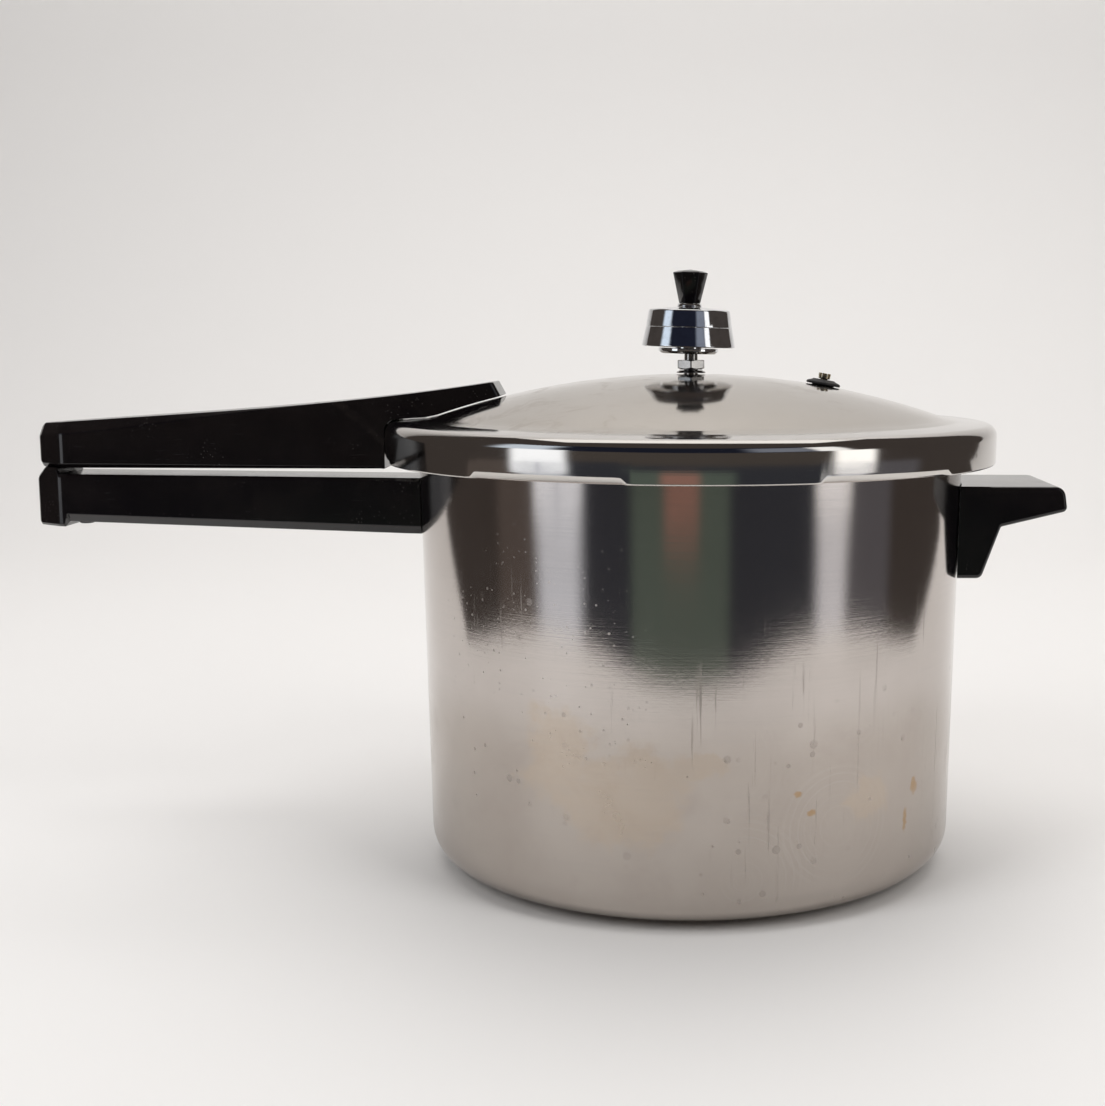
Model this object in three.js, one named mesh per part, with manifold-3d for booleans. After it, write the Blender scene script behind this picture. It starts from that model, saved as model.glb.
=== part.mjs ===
// A stovetop pressure cooker with a bayonet cover, two long moulded handles, a short helper
// handle and a lift-off weighted pressure regulator.
// Millimetres, +Z up. The origin is the centre of the face that stands on the stove, the long
// handles point along -X and the helper handle along +X.
import * as THREE from "three";
import { ConvexGeometry } from "three/addons/geometries/ConvexGeometry.js";
import { mergeVertices } from "three/addons/utils/BufferGeometryUtils.js";
import Module from "manifold-3d";

const wasm = await Module();
wasm.setup();

// ---- Driving dimensions ----
const GAP = 0.4; // clearance between pieces that touch on the real object
const SHEET = 1.2; // stainless sheet of the pot and the cover
const ROUND_STEPS = 60; // facets round the pot and the cover, a multiple of the lug count
const SMALL_STEPS = 24; // facets round small turned pieces

const DISC_RADIUS = 93; // heat spreading disc under the pot
const DISC_HEIGHT = 2.4;

const POT_RADIUS = 118; // outside, just under the rim
const POT_DRAFT = 0.0166; // the wall's radius falls by this much for each unit of height
const POT_CORNER = 14;
const POT_FLOOR = DISC_HEIGHT + GAP;
const RIM_TOP = 181.5;
const RIM_RADIUS = 122;

const LUG_COUNT = 6;
const LUG_ANGLE = 28; // degrees that each lug spans, on the pot and on the cover
const LUG_PHASE = 5.5; // degrees from the handle's centre line to the nearest lug
const POT_LUG_RADIUS = 128;
const COVER_LUG_RADIUS = 123.5; // inner edge of the cover's lugs

const COVER_RADIUS = 132.4; // outside of the cover's skirt
const SKIRT_BOTTOM = 175.8;
const SHOULDER_TOP = 193.3; // where the dome ends
const SHOULDER_FALL = 1; // from there to the rounded corner
const SHOULDER_INNER = 114.5;
const SHOULDER_ROUND = 4.5;
const DOME_TOP = 212.7;
const DOME_SPHERE = 341.6; // radius of the sphere that the dome is part of
const DOME_EDGE = 110.5;

const HANDLE_WIDTH = 30;
const HANDLE_TIP_WIDTH = 25; // the cover handle is narrower where it ends on the dome
const HANDLE_END = -284; // both long handles end here
const COVER_HANDLE_BOTTOM = 172.8;
const BODY_HANDLE_TOP = 169.8;

const HELPER_WIDTH = 60;
const HELPER_TOP = 166.2;
const HELPER_END = 159;

const PLUG_X = 57.8; // overpressure plug, opposite the long handles
const RACK_RADIUS = 97;

// ---- Geometry helpers ----
const degrees = THREE.MathUtils.degToRad;

// A closed three.js geometry as a solid that can be joined and cut.
function solid(geometry) {
  const bare = geometry.index ? geometry.toNonIndexed() : geometry.clone();
  bare.deleteAttribute("normal");
  bare.deleteAttribute("uv");
  const merged = mergeVertices(bare, 1e-4);
  const corners = merged.index.array;
  const triVerts = [];
  for (let i = 0; i < corners.length; i += 3) {
    const [a, b, c] = corners.subarray(i, i + 3);
    if (a !== b && b !== c && c !== a) triVerts.push(a, b, c);
  }
  return new wasm.Manifold(
    new wasm.Mesh({
      numProp: 3,
      vertProperties: merged.attributes.position.array,
      triVerts: new Uint32Array(triVerts),
    }),
  );
}

// The solid back as a three.js geometry.
function geometryOf(body) {
  const mesh = body.getMesh();
  const geometry = new THREE.BufferGeometry();
  geometry.setAttribute("position", new THREE.BufferAttribute(new Float32Array(mesh.vertProperties), 3));
  geometry.setIndex(new THREE.BufferAttribute(new Uint32Array(mesh.triVerts), 1));
  const flat = geometry.toNonIndexed();
  flat.computeVertexNormals();
  return flat;
}

const point = (x, y) => new THREE.Vector2(x, y);

// Points on a circular arc, angles in degrees from the +r axis.
function arc(centreR, centreZ, radius, from, to, steps) {
  return Array.from({ length: steps + 1 }, (_, i) => {
    const angle = degrees(from + ((to - from) * i) / steps);
    return point(centreR + radius * Math.cos(angle), centreZ + radius * Math.sin(angle));
  });
}

// A profile of (radius, height) points turned about Z.
// The profile runs counter-clockwise, up the outside and down the inside.
function turned(profile, steps = SMALL_STEPS) {
  const first = profile[0];
  const last = profile.at(-1);
  const onAxis = first.x === 0 && last.x === 0;
  const closed = onAxis ? profile : [...profile, first.clone()];
  return solid(new THREE.LatheGeometry(closed, steps).rotateX(Math.PI / 2));
}

// A straight cylinder about Z.
const rod = (radius, bottom, top, steps = SMALL_STEPS) =>
  turned([point(0, bottom), point(radius, bottom), point(radius, top), point(0, top)], steps);

// A hexagonal rod about Z with flats that face +Y and -Y; the radius is to its corners.
const hexRod = (radius, bottom, top) => rod(radius, bottom, top, 6).rotate([0, 0, 30]);

// An outline of (x, z) points, as wide as `width` along Y and centred on Y = 0.
function sideExtrusion(outline, width) {
  const geometry = new THREE.ExtrudeGeometry(new THREE.Shape(outline), { depth: width, bevelEnabled: false });
  return solid(geometry.rotateX(Math.PI / 2).translate(0, width / 2, 0));
}

// An outline of (x, y) points between two heights.
function planExtrusion(outline, bottom, top) {
  const geometry = new THREE.ExtrudeGeometry(new THREE.Shape(outline), {
    depth: top - bottom,
    bevelEnabled: false,
  });
  return solid(geometry.translate(0, 0, bottom));
}

// A box from its lowest and highest corners.
function block([x0, y0, z0], [x1, y1, z1]) {
  const geometry = new THREE.BoxGeometry(x1 - x0, y1 - y0, z1 - z0);
  return solid(geometry.translate((x0 + x1) / 2, (y0 + y1) / 2, (z0 + z1) / 2));
}

const convex = (corners) => solid(new ConvexGeometry(corners.map((c) => new THREE.Vector3(...c))));

// A plate bent round the Z axis: part of a ring centred on the direction `middle`, in degrees.
function ringSector(inner, outer, middle, span, bottom, top, steps) {
  const outline = [
    ...arc(0, 0, outer, middle - span / 2, middle + span / 2, steps),
    ...arc(0, 0, inner, middle + span / 2, middle - span / 2, steps),
  ];
  return planExtrusion(outline, bottom, top);
}

const join = (bodies) => bodies.reduce((whole, body) => whole.add(body));
const cut = (body, ...tools) => tools.reduce((rest, tool) => rest.subtract(tool), body);

// ---- Materials ----
const metal = (color, roughness) => new THREE.MeshStandardMaterial({ color, roughness, metalness: 1 });
const moulded = (color, roughness) => new THREE.MeshStandardMaterial({ color, roughness, metalness: 0 });
const brushedSteel = () => metal(0xb9b4ad, 0.28);
const polishedSteel = () => metal(0xc8c5c0, 0.15);
const aluminium = () => metal(0xb5b6b8, 0.45);
const chrome = () => metal(0xd6d8dc, 0.08);
const phenolic = () => moulded(0x100d0e, 0.25);
const rubber = () => moulded(0x17181a, 0.6);

const cooker = new THREE.Group();
cooker.name = "pressure_cooker";

function addPiece(name, body, material) {
  const mesh = new THREE.Mesh(geometryOf(body), material);
  mesh.name = name;
  cooker.add(mesh);
  return mesh;
}

// ---- Pot ----
const potRadiusAt = (z) => POT_RADIUS - POT_DRAFT * (RIM_TOP - z);

// The outside of the pot from the middle of its floor up to just below the rim.
function potOutside(offset) {
  const radius = POT_CORNER + offset;
  const centreZ = POT_FLOOR + POT_CORNER;
  const centreR = potRadiusAt(centreZ) - POT_CORNER;
  return [point(0, centreZ - radius), ...arc(centreR, centreZ, radius, -90, 0, 5)];
}

const COVER_LUG_TOP = SKIRT_BOTTOM + 3;
const RIM_UNDERSIDE = RIM_TOP - SHEET - 0.4;
const lugDirections = Array.from({ length: LUG_COUNT }, (_, i) => 180 + LUG_PHASE + (i * 360) / LUG_COUNT);
const lugs = (inner, outer, bottom, top) =>
  lugDirections.map((middle) => ringSector(inner, outer, middle, LUG_ANGLE, bottom, top, 5));

function potBody() {
  const wallTop = RIM_UNDERSIDE - 1.5;
  const inner = potOutside(-SHEET).reverse();
  const shell = turned(
    [
      ...potOutside(0),
      point(potRadiusAt(wallTop), wallTop),
      point(POT_RADIUS + 1.5, RIM_UNDERSIDE),
      point(RIM_RADIUS, RIM_UNDERSIDE),
      point(RIM_RADIUS, RIM_TOP),
      point(POT_RADIUS + 1, RIM_TOP),
      point(potRadiusAt(wallTop) - SHEET, RIM_TOP - 2),
      ...inner,
    ],
    ROUND_STEPS,
  );
  return join([shell, ...lugs(RIM_RADIUS - 2, POT_LUG_RADIUS, RIM_UNDERSIDE, RIM_TOP)]);
}

// What a piece that is fitted against the pot's wall has to stay out of.
const potClearance = () => {
  const outside = potOutside(GAP);
  const top = point(POT_RADIUS + GAP, RIM_TOP);
  return turned([...outside, top, point(0, RIM_TOP)], ROUND_STEPS);
};

// ---- Cover ----
const DOME_CENTRE = DOME_TOP - DOME_SPHERE;
const domeAngle = (radius, sphere) => THREE.MathUtils.radToDeg(Math.acos(radius / sphere));

// The cover's skin from the dome's top down to the skirt's lower edge, moved out by `offset`.
function coverSkin(offset, holeRadius) {
  const sphere = DOME_SPHERE + offset;
  const dome = arc(0, DOME_CENTRE, sphere, domeAngle(holeRadius, sphere), domeAngle(DOME_EDGE, sphere), 8);
  const round = SHOULDER_ROUND + offset;
  const roundR = COVER_RADIUS - SHOULDER_ROUND;
  const roundZ = SHOULDER_TOP - SHOULDER_FALL - SHOULDER_ROUND;
  return [
    ...dome,
    point(SHOULDER_INNER, SHOULDER_TOP + offset),
    ...arc(roundR, roundZ, round, 90, 0, 4),
    point(COVER_RADIUS + offset, SKIRT_BOTTOM),
  ];
}

const VENT_HOLE = 3.5;
const PLUG_HOLE = 5.2;

function coverShell() {
  const outside = coverSkin(0, VENT_HOLE).reverse();
  const shell = turned([...outside, ...coverSkin(-SHEET, VENT_HOLE)], ROUND_STEPS);
  const skirtInside = COVER_RADIUS - SHEET / 2;
  const whole = join([shell, ...lugs(COVER_LUG_RADIUS, skirtInside, SKIRT_BOTTOM, COVER_LUG_TOP)]);
  return cut(whole, onDome(rod(PLUG_HOLE, -10, 10)));
}

// Turns a body that is made about Z at the origin so that it stands on the dome at the plug.
const PLUG_TILT = Math.asin(PLUG_X / DOME_SPHERE);
function onDome(body) {
  const surfaceZ = DOME_CENTRE + DOME_SPHERE * Math.cos(PLUG_TILT);
  const geometry = geometryOf(body).rotateY(PLUG_TILT).translate(PLUG_X, 0, surfaceZ);
  return solid(geometry);
}

const coverClearance = () => {
  const skin = coverSkin(GAP, 0).reverse();
  const foot = SKIRT_BOTTOM - 10;
  return turned([point(0, foot), point(COVER_RADIUS + GAP, foot), ...skin], ROUND_STEPS);
};

// The ring that seals the cover on the pot's rim, with a groove that pressure opens.
function sealingRing() {
  const bottom = RIM_TOP + GAP;
  const top = SHOULDER_TOP - SHOULDER_FALL - SHEET - GAP;
  const inner = 115.5;
  const outer = 127.3;
  return turned(
    [
      point(inner + 1, bottom),
      point(outer, bottom),
      point(outer, top - 3.5),
      point(outer - 3, top),
      point(inner + 1, top),
      point(inner, top - 2.5),
      point(inner + 4, (bottom + top) / 2),
      point(inner, bottom + 2.5),
    ],
    ROUND_STEPS,
  );
}

// ---- Screws and washers ----
const SCREW = { shank: 2.2, head: 4, headHeight: 2.4, hole: 2.55 };
const WASHER_HEIGHT = 0.8;

// A slotted screw that is driven upwards, from the underside of its head to its tip.
function screw(seat, tip) {
  const headBottom = seat - SCREW.headHeight;
  const chamfer = 0.8;
  const body = turned(
    [
      point(0, headBottom),
      point(SCREW.head - chamfer, headBottom),
      point(SCREW.head, headBottom + chamfer),
      point(SCREW.head, seat),
      point(SCREW.shank, seat),
      point(SCREW.shank, tip - 1),
      point(SCREW.shank - chamfer, tip),
      point(0, tip),
    ],
    16,
  );
  const slotHalf = 0.5;
  return cut(body, block([-5, -slotHalf, headBottom - 1], [5, slotHalf, headBottom + 1]));
}

// A flat washer under a screw's head; `top` is the face that bears on the handle.
function washer(top) {
  const bottom = top - WASHER_HEIGHT;
  return cut(rod(SCREW.head, bottom, top, 16), rod(SCREW.hole, bottom - 1, top + 1, 16));
}

// The screw that holds a handle to a bracket, with the washer between its head and the seat.
const handleScrew = (x, seat, tip) => screw(seat - WASHER_HEIGHT - 2 * GAP, tip).translate([x, 0, 0]);
const handleWasher = (x, seat) => washer(seat - GAP).translate([x, 0, 0]);

// What a handle needs cut out for a screw: its shank up to `top`, and its head up to the seat.
const screwHoles = (x, underside, seat, top) => [
  rod(SCREW.shank + GAP, underside, top, 12).translate([x, 0, 0]),
  rod(SCREW.head + GAP, underside, seat, 16).translate([x, 0, 0]),
];

// ---- Long handles ----
const halfHandle = HANDLE_WIDTH / 2;
const HANDLE_WALL = 4; // moulded wall round the hollow underneath each long handle

// Plan of a long handle: its outer end has cut corners, and it narrows from `taperX` to its front.
function handlePlan(taperX, frontX, frontHalf) {
  const endHalf = 6.5;
  const cornerX = HANDLE_END + 12.5;
  const oneSide = [
    point(HANDLE_END, endHalf),
    point(cornerX, halfHandle),
    point(taperX, halfHandle),
    point(frontX, frontHalf),
  ];
  return [...oneSide.map(({ x, y }) => point(x, -y)), ...oneSide.reverse()];
}

// The hollow that opens downwards in a long handle, up to the height `top`.
function handleHollow(startX, endX, bottom, top) {
  const half = halfHandle - HANDLE_WALL;
  return block([startX, -half, bottom], [endX, half, top]);
}

// Cuts the edge between a handle's side and its top or bottom; `edge` gives, at each end of the
// cut, the x, the height of the edge and the size of the cut. `rise` is 1 for a top edge.
function edgeCut(edge, side, rise) {
  const corners = edge.flatMap(([x, z, size]) => [
    [x, side * (halfHandle - size), z + rise * 0.01],
    [x, side * (halfHandle + 1), z - rise * (size + 1)],
    [x, side * (halfHandle + 1), z + rise * 1.5],
  ]);
  return convex(corners);
}

const COVER_SCREW_X = [-148, -163];
const COVER_BRACKET = { end: -170, start: -116, half: 9, thickness: 2.2 };
const bracketBottom = SHOULDER_TOP + GAP;
const coverScrewSeat = COVER_HANDLE_BOTTOM + 5;
const TIP = { x: -83.5, bottom: 202.5, topX: -85.6, top: 209.2 }; // the front end, over the dome

// The top line of the cover handle, which rises slowly and then curves up over the dome.
const coverHandleTop = new THREE.CubicBezierCurve(
  point(-280, 190.8),
  point(-210, 196),
  point(-150, 199),
  point(TIP.topX, TIP.top),
);

function coverHandle() {
  const outline = [
    point(HANDLE_END, COVER_HANDLE_BOTTOM + 3),
    point(HANDLE_END + 2.5, COVER_HANDLE_BOTTOM),
    point(TIP.x, COVER_HANDLE_BOTTOM),
    point(TIP.x, TIP.bottom),
    ...coverHandleTop.getPoints(6).reverse(),
    point(HANDLE_END + 1, 187.5),
  ];
  const plan = planExtrusion(handlePlan(-150, TIP.x, HANDLE_TIP_WIDTH / 2), 150, 220);
  const whole = sideExtrusion(outline, HANDLE_WIDTH).intersect(plan);
  const hollow = handleHollow(-266, -176, COVER_HANDLE_BOTTOM - 1, COVER_HANDLE_BOTTOM + 14);
  const { end, start, half, thickness } = COVER_BRACKET;
  const slot = block(
    [end - GAP, -half - GAP, bracketBottom - GAP],
    [start + 2, half + GAP, bracketBottom + thickness + GAP],
  );
  const holes = COVER_SCREW_X.flatMap((x) =>
    screwHoles(x, COVER_HANDLE_BOTTOM - 1, coverScrewSeat, bracketBottom + 7),
  );
  const thumbCuts = [-1, 1].map((side) => edgeCut([[-290, 190.2, 5.4], [-150, 201.2, 0.2]], side, 1));
  return cut(whole, coverClearance(), hollow, slot, ...holes, ...thumbCuts);
}

// A flat strap that is welded to the cover's shoulder and runs into the cover handle.
function coverBracket() {
  const { end, start, half, thickness } = COVER_BRACKET;
  const strap = block([end, -half, bracketBottom], [start, half, bracketBottom + thickness]);
  const holes = COVER_SCREW_X.map((x) =>
    rod(SCREW.hole, bracketBottom - 1, bracketBottom + thickness + 1, 12).translate([x, 0, 0]),
  );
  return cut(strap, ...holes);
}

// ---- Body handle ----
const PAD_SPAN = 20; // degrees of the pot's wall that each bracket's pad covers
const BRACKET_SHEET = 1.6;
const PAD_POCKET = { inner: 112, outer: POT_RADIUS + BRACKET_SHEET + 1.1, span: PAD_SPAN + 2 };
const BODY_BRACKET = { tip: -160, half: 6.5, bottom: 153.5, top: 162, padBottom: 148, padTop: 166 };
const BODY_SCREW_X = -148;
const bodyScrewSeat = 151;

// The pocket in a handle for a bracket's pad, centred on the direction `middle`.
function padPocket({ padBottom, padTop }, middle) {
  const { inner, outer, span } = PAD_POCKET;
  return ringSector(inner, outer, middle, span, padBottom - GAP, padTop + GAP, 4);
}

function bodyHandle() {
  const blockBottom = 146; // of the end block, which the hand rests against
  const footX = HANDLE_END + 13;
  const nubBottom = 148.2;
  const potX = -114; // inside the pot's clearance, which cuts the handle's inner end
  const bossTop = BODY_HANDLE_TOP + 2;
  const outline = [
    point(HANDLE_END, blockBottom + 1.5),
    point(HANDLE_END + 1.5, blockBottom),
    point(footX, blockBottom),
    point(footX, nubBottom),
    point(footX + 4.5, nubBottom),
    point(footX + 5, 150.9),
    point(potX, 145.1),
    point(potX, BODY_HANDLE_TOP - 1.3),
    point(HANDLE_END + 10.5, BODY_HANDLE_TOP),
    point(HANDLE_END + 9, bossTop),
    point(HANDLE_END + 5, bossTop),
    point(HANDLE_END, bossTop - 4.3),
  ];
  const plan = planExtrusion(handlePlan(-150, -100, halfHandle), 140, 180);
  const whole = sideExtrusion(outline, HANDLE_WIDTH).intersect(plan);
  const hollow = handleHollow(-262, -172, 140, 163);
  const { tip, half, bottom, top } = BODY_BRACKET;
  const pocket = block([tip - GAP, -half - GAP, bottom - GAP], [-100, half + GAP, top + GAP]);
  const holes = screwHoles(BODY_SCREW_X, 140, bodyScrewSeat, bottom);
  const undercuts = [-1, 1].map((side) => edgeCut([[-268, 151, 5], [-100, 144.5, 5]], side, -1));
  return cut(whole, potClearance(), hollow, pocket, padPocket(BODY_BRACKET, 180), ...holes, ...undercuts);
}

// An inverted channel on a curved pad that is spot welded to the pot.
function bodyBracket() {
  const { tip, half, bottom, top, padBottom, padTop } = BODY_BRACKET;
  const sheet = BRACKET_SHEET;
  const padInner = POT_RADIUS + GAP;
  const pad = ringSector(padInner, padInner + sheet, 180, PAD_SPAN, padBottom, padTop, 4);
  const channel = block([tip, -half, bottom], [-padInner - 0.9, half, top]);
  const inside = block([tip - 1, sheet - half, bottom - 1], [-padInner - sheet, half - sheet, top - sheet]);
  const hole = rod(SCREW.hole, bottom, top + 1, 12).translate([BODY_SCREW_X, 0, 0]);
  return cut(join([pad, cut(channel, inside)]), hole);
}

// ---- Helper handle ----
const HELPER_BRACKET = { tip: 143, half: 8, bottom: 156.5, top: 160.5, padBottom: 137, padTop: 164 };
const HELPER_SCREW_X = 137;
const helperScrewSeat = 153.4;

// A grip that stands out from the pot, on a leg that reaches down its wall.
function helperHandle() {
  const potX = 105; // inside the pot's clearance, which cuts the handle's inner side
  const legBottom = 127.7;
  const outline = [
    point(potX, legBottom),
    point(121.5, legBottom),
    point(124.6, legBottom + 3.3),
    point(131, 149.6),
    point(133.5, 151),
    point(HELPER_END - 4, 154.2),
    point(HELPER_END, 157.2),
    point(HELPER_END, 161),
    point(HELPER_END - 2, 165),
    point(HELPER_END - 5, HELPER_TOP),
    point(potX, HELPER_TOP),
  ];
  const whole = sideExtrusion(outline, HELPER_WIDTH);
  const { tip, half, bottom, top } = HELPER_BRACKET;
  const pocket = block([100, -half - GAP, bottom - GAP], [tip + GAP, half + GAP, top + GAP]);
  const holes = screwHoles(HELPER_SCREW_X, 148, helperScrewSeat, bottom);
  return cut(whole, potClearance(), pocket, padPocket(HELPER_BRACKET, 0), ...holes);
}

// A flat tongue on a curved pad that is spot welded to the pot.
function helperBracket() {
  const { tip, half, bottom, top, padBottom, padTop } = HELPER_BRACKET;
  const padInner = POT_RADIUS + GAP;
  const pad = ringSector(padInner, padInner + BRACKET_SHEET, 0, PAD_SPAN, padBottom, padTop, 4);
  const tongue = block([padInner + 0.9, -half, bottom], [tip, half, top]);
  const hole = rod(SCREW.hole, bottom - 1, top + 1, 12).translate([HELPER_SCREW_X, 0, 0]);
  return cut(join([pad, tongue]), hole);
}

// ---- Vent pipe ----
const VENT = {
  bore: 1.4,
  shank: 3.1,
  neck: 5.15,
  hex: 6.7,
  neckBottom: DOME_TOP + 1.9,
  hexBottom: 215,
  hexTop: 218.7,
  tip: 229,
  bottom: 202.5,
};

// A tube that is threaded through the cover, with a collar that the regulator hangs above.
function ventPipe() {
  const tube = turned([
    point(VENT.bore, VENT.bottom),
    point(VENT.shank, VENT.bottom),
    point(VENT.shank, VENT.neckBottom),
    point(VENT.neck, VENT.neckBottom),
    point(VENT.neck, VENT.hexBottom + 1),
    point(2.95, VENT.hexTop - 0.5),
    point(2.95, VENT.tip - 2),
    point(2, VENT.tip),
    point(VENT.bore, VENT.tip),
  ]);
  const insideHex = rod(2.5, VENT.hexBottom - 1, VENT.hexTop + 1);
  const hex = cut(hexRod(VENT.hex, VENT.hexBottom, VENT.hexTop), insideHex);
  return join([tube, hex]);
}

// A ring round the vent pipe's shank, cut from a rod that reaches from `bottom` to `top`.
const ventRing = (outside, bottom, top) => cut(outside, rod(VENT.shank + GAP, bottom - 1, top + 1));

function ventWasher() {
  const bottom = DOME_TOP + GAP;
  const top = VENT.neckBottom - GAP;
  return ventRing(rod(6.55, bottom, top), bottom, top);
}

const DOME_INSIDE = DOME_TOP - SHEET;
const GASKET_BOTTOM = DOME_INSIDE - GAP - 1.2;

function ventGasket() {
  const top = DOME_INSIDE - GAP;
  return ventRing(rod(6.5, GASKET_BOTTOM, top), GASKET_BOTTOM, top);
}

function ventLocknut() {
  const top = GASKET_BOTTOM - GAP;
  const bottom = top - 3.6;
  return ventRing(hexRod(7.2, bottom, top), bottom, top);
}

// ---- Overpressure plug and air vent pin, made about Z with the dome's skin from -SHEET to 0 ----
const PLUG_BOTTOM = -6;
const PLUG_TOP = 2.6;
function overpressurePlug() {
  const bore = 2;
  return turned([
    point(bore, PLUG_BOTTOM),
    point(6.3, PLUG_BOTTOM),
    point(7, -SHEET - GAP),
    point(PLUG_HOLE - GAP, -SHEET - GAP),
    point(PLUG_HOLE - GAP, GAP),
    point(7.7, GAP),
    point(7.4, PLUG_TOP - 0.7),
    point(4.4, PLUG_TOP),
    point(bore, PLUG_TOP),
  ]);
}

// The pin rests on its crown; its foot stops it after it has risen by PIN_RISE.
const PIN_RISE = 3;
function airVentPin() {
  const shank = 1.6;
  const crownBottom = PLUG_TOP + GAP;
  const crownTop = crownBottom + 2.4;
  const footTop = PLUG_BOTTOM - GAP - PIN_RISE;
  const pin = turned([
    point(0, footTop - 1.3),
    point(3.2, footTop - 1.3),
    point(3.2, footTop),
    point(shank, footTop),
    point(shank, crownBottom),
    point(2.5, crownBottom),
    point(2.7, crownTop),
    point(1.7, crownTop),
    point(1.5, crownBottom + 0.8),
    point(0, crownBottom + 0.8),
  ]);
  const notches = [0, 60, 120].map((turn) =>
    block([-4, -0.6, crownBottom + 0.8], [4, 0.6, crownTop + 1]).rotate([0, 0, turn]),
  );
  return cut(pin, ...notches);
}

// ---- Pressure regulator ----
const REGULATOR = {
  flangeBottom: 221.4,
  weightBottom: 224.2,
  seam: 232.7,
  weightTop: 240.3,
  spindle: 6,
  bottomRadius: 20.3,
  topRadius: 17.6,
};

// The spindle that sits on the vent pipe, with the flange that carries the weights.
function regulatorSpindle() {
  const { flangeBottom, weightBottom, weightTop, spindle } = REGULATOR;
  const seat = VENT.tip + GAP;
  return turned([
    point(0, seat + 1.5),
    point(1.9, seat + 0.8),
    point(3.6, seat - 2),
    point(3.6, flangeBottom),
    point(12.2, flangeBottom),
    point(13.1, flangeBottom + 0.8),
    point(13.1, weightBottom - GAP),
    point(spindle, weightBottom - GAP),
    point(spindle, weightTop - 3),
    point(2.2, weightTop - 3),
    point(2.2, weightTop + 9),
    point(0, weightTop + 9),
  ]);
}

const weightRadius = (z) => {
  const { weightBottom, weightTop, bottomRadius, topRadius } = REGULATOR;
  return THREE.MathUtils.mapLinear(z, weightBottom, weightTop, bottomRadius, topRadius);
};

function lowerWeight() {
  const { weightBottom, seam, spindle } = REGULATOR;
  const bore = spindle + 0.35;
  const top = seam - GAP / 2;
  return turned([
    point(bore, weightBottom),
    point(weightRadius(weightBottom) - 1, weightBottom),
    point(weightRadius(weightBottom), weightBottom + 0.8),
    point(weightRadius(top), top),
    point(bore, top),
  ], 32);
}

function upperWeight() {
  const { seam, weightTop, spindle } = REGULATOR;
  const bottom = seam + GAP / 2;
  const bore = spindle + 0.35;
  return turned([
    point(bore, bottom),
    point(weightRadius(bottom), bottom),
    point(weightRadius(weightTop - 0.8), weightTop - 0.8),
    point(weightRadius(weightTop) - 0.8, weightTop),
    point(6, weightTop + 1.3),
    point(2.6, weightTop + 1.3),
    point(2.6, weightTop - 2.6),
    point(bore, weightTop - 2.6),
  ], 32);
}

function knobWasher() {
  const bottom = REGULATOR.weightTop + 1.7;
  return turned([point(2.6, bottom), point(5.2, bottom), point(5.2, bottom + 0.8), point(2.6, bottom + 0.8)]);
}

// A six-sided knob that widens upwards and ends in a low crown, with flats that face +Y and -Y.
function regulatorKnob() {
  const bottom = REGULATOR.weightTop + 2.9;
  const top = bottom + 13.1;
  const hole = rod(2.6, bottom - 1, bottom + 7);
  const body = turned([
    point(0, bottom),
    point(4.7, bottom),
    point(7.7, top),
    point(4, top + 1),
    point(0, top + 1.4),
  ], 6);
  return cut(body.rotate([0, 0, 30]), hole);
}

// ---- Cooking rack: a pierced plate with a turned-down rim that stands on the pot's floor ----
function cookingRack() {
  const bottom = POT_FLOOR + SHEET + GAP;
  const top = bottom + 13;
  const sheet = 1.2;
  const plate = turned(
    [
      point(0, top - sheet),
      point(RACK_RADIUS - 2, top - sheet),
      point(RACK_RADIUS - sheet, bottom),
      point(RACK_RADIUS, bottom),
      point(RACK_RADIUS - 1, top),
      point(0, top),
    ],
    48,
  );
  const rows = [
    [0, 1],
    [32, 6],
    [66, 12],
  ];
  const holes = rows.flatMap(([radius, count]) =>
    Array.from({ length: count }, (_, i) => {
      const angle = degrees((360 * i) / count);
      return rod(8, top - 5, top + 5, 12).translate([radius * Math.cos(angle), radius * Math.sin(angle), 0]);
    }),
  );
  return cut(plate, ...holes);
}

// ---- Assembly ----
addPiece("pot_body", potBody(), brushedSteel());
addPiece("heat_spreader_disc", rod(DISC_RADIUS, 0, DISC_HEIGHT, ROUND_STEPS), aluminium());
addPiece("body_handle_bracket", bodyBracket(), brushedSteel());
addPiece("body_handle", bodyHandle(), phenolic());
addPiece("body_handle_washer", handleWasher(BODY_SCREW_X, bodyScrewSeat), chrome());
const bodyScrewTip = BODY_BRACKET.top - 0.6;
addPiece("body_handle_screw", handleScrew(BODY_SCREW_X, bodyScrewSeat, bodyScrewTip), chrome());
addPiece("helper_handle_bracket", helperBracket(), brushedSteel());
addPiece("helper_handle", helperHandle(), phenolic());
addPiece("helper_handle_washer", handleWasher(HELPER_SCREW_X, helperScrewSeat), chrome());
const helperScrewTip = HELPER_BRACKET.top - 0.6;
addPiece("helper_handle_screw", handleScrew(HELPER_SCREW_X, helperScrewSeat, helperScrewTip), chrome());
addPiece("cover", coverShell(), polishedSteel());
addPiece("cover_handle_bracket", coverBracket(), brushedSteel());
addPiece("cover_handle", coverHandle(), phenolic());
["front", "rear"].forEach((where, i) => {
  const x = COVER_SCREW_X[i];
  addPiece(`cover_handle_${where}_washer`, handleWasher(x, coverScrewSeat), chrome());
  addPiece(`cover_handle_${where}_screw`, handleScrew(x, coverScrewSeat, bracketBottom + 5), chrome());
});
addPiece("sealing_ring", sealingRing(), rubber());
addPiece("vent_pipe", ventPipe(), chrome());
addPiece("vent_pipe_washer", ventWasher(), chrome());
addPiece("vent_pipe_gasket", ventGasket(), rubber());
addPiece("vent_pipe_locknut", ventLocknut(), chrome());
addPiece("overpressure_plug", onDome(overpressurePlug()), rubber());
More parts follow.
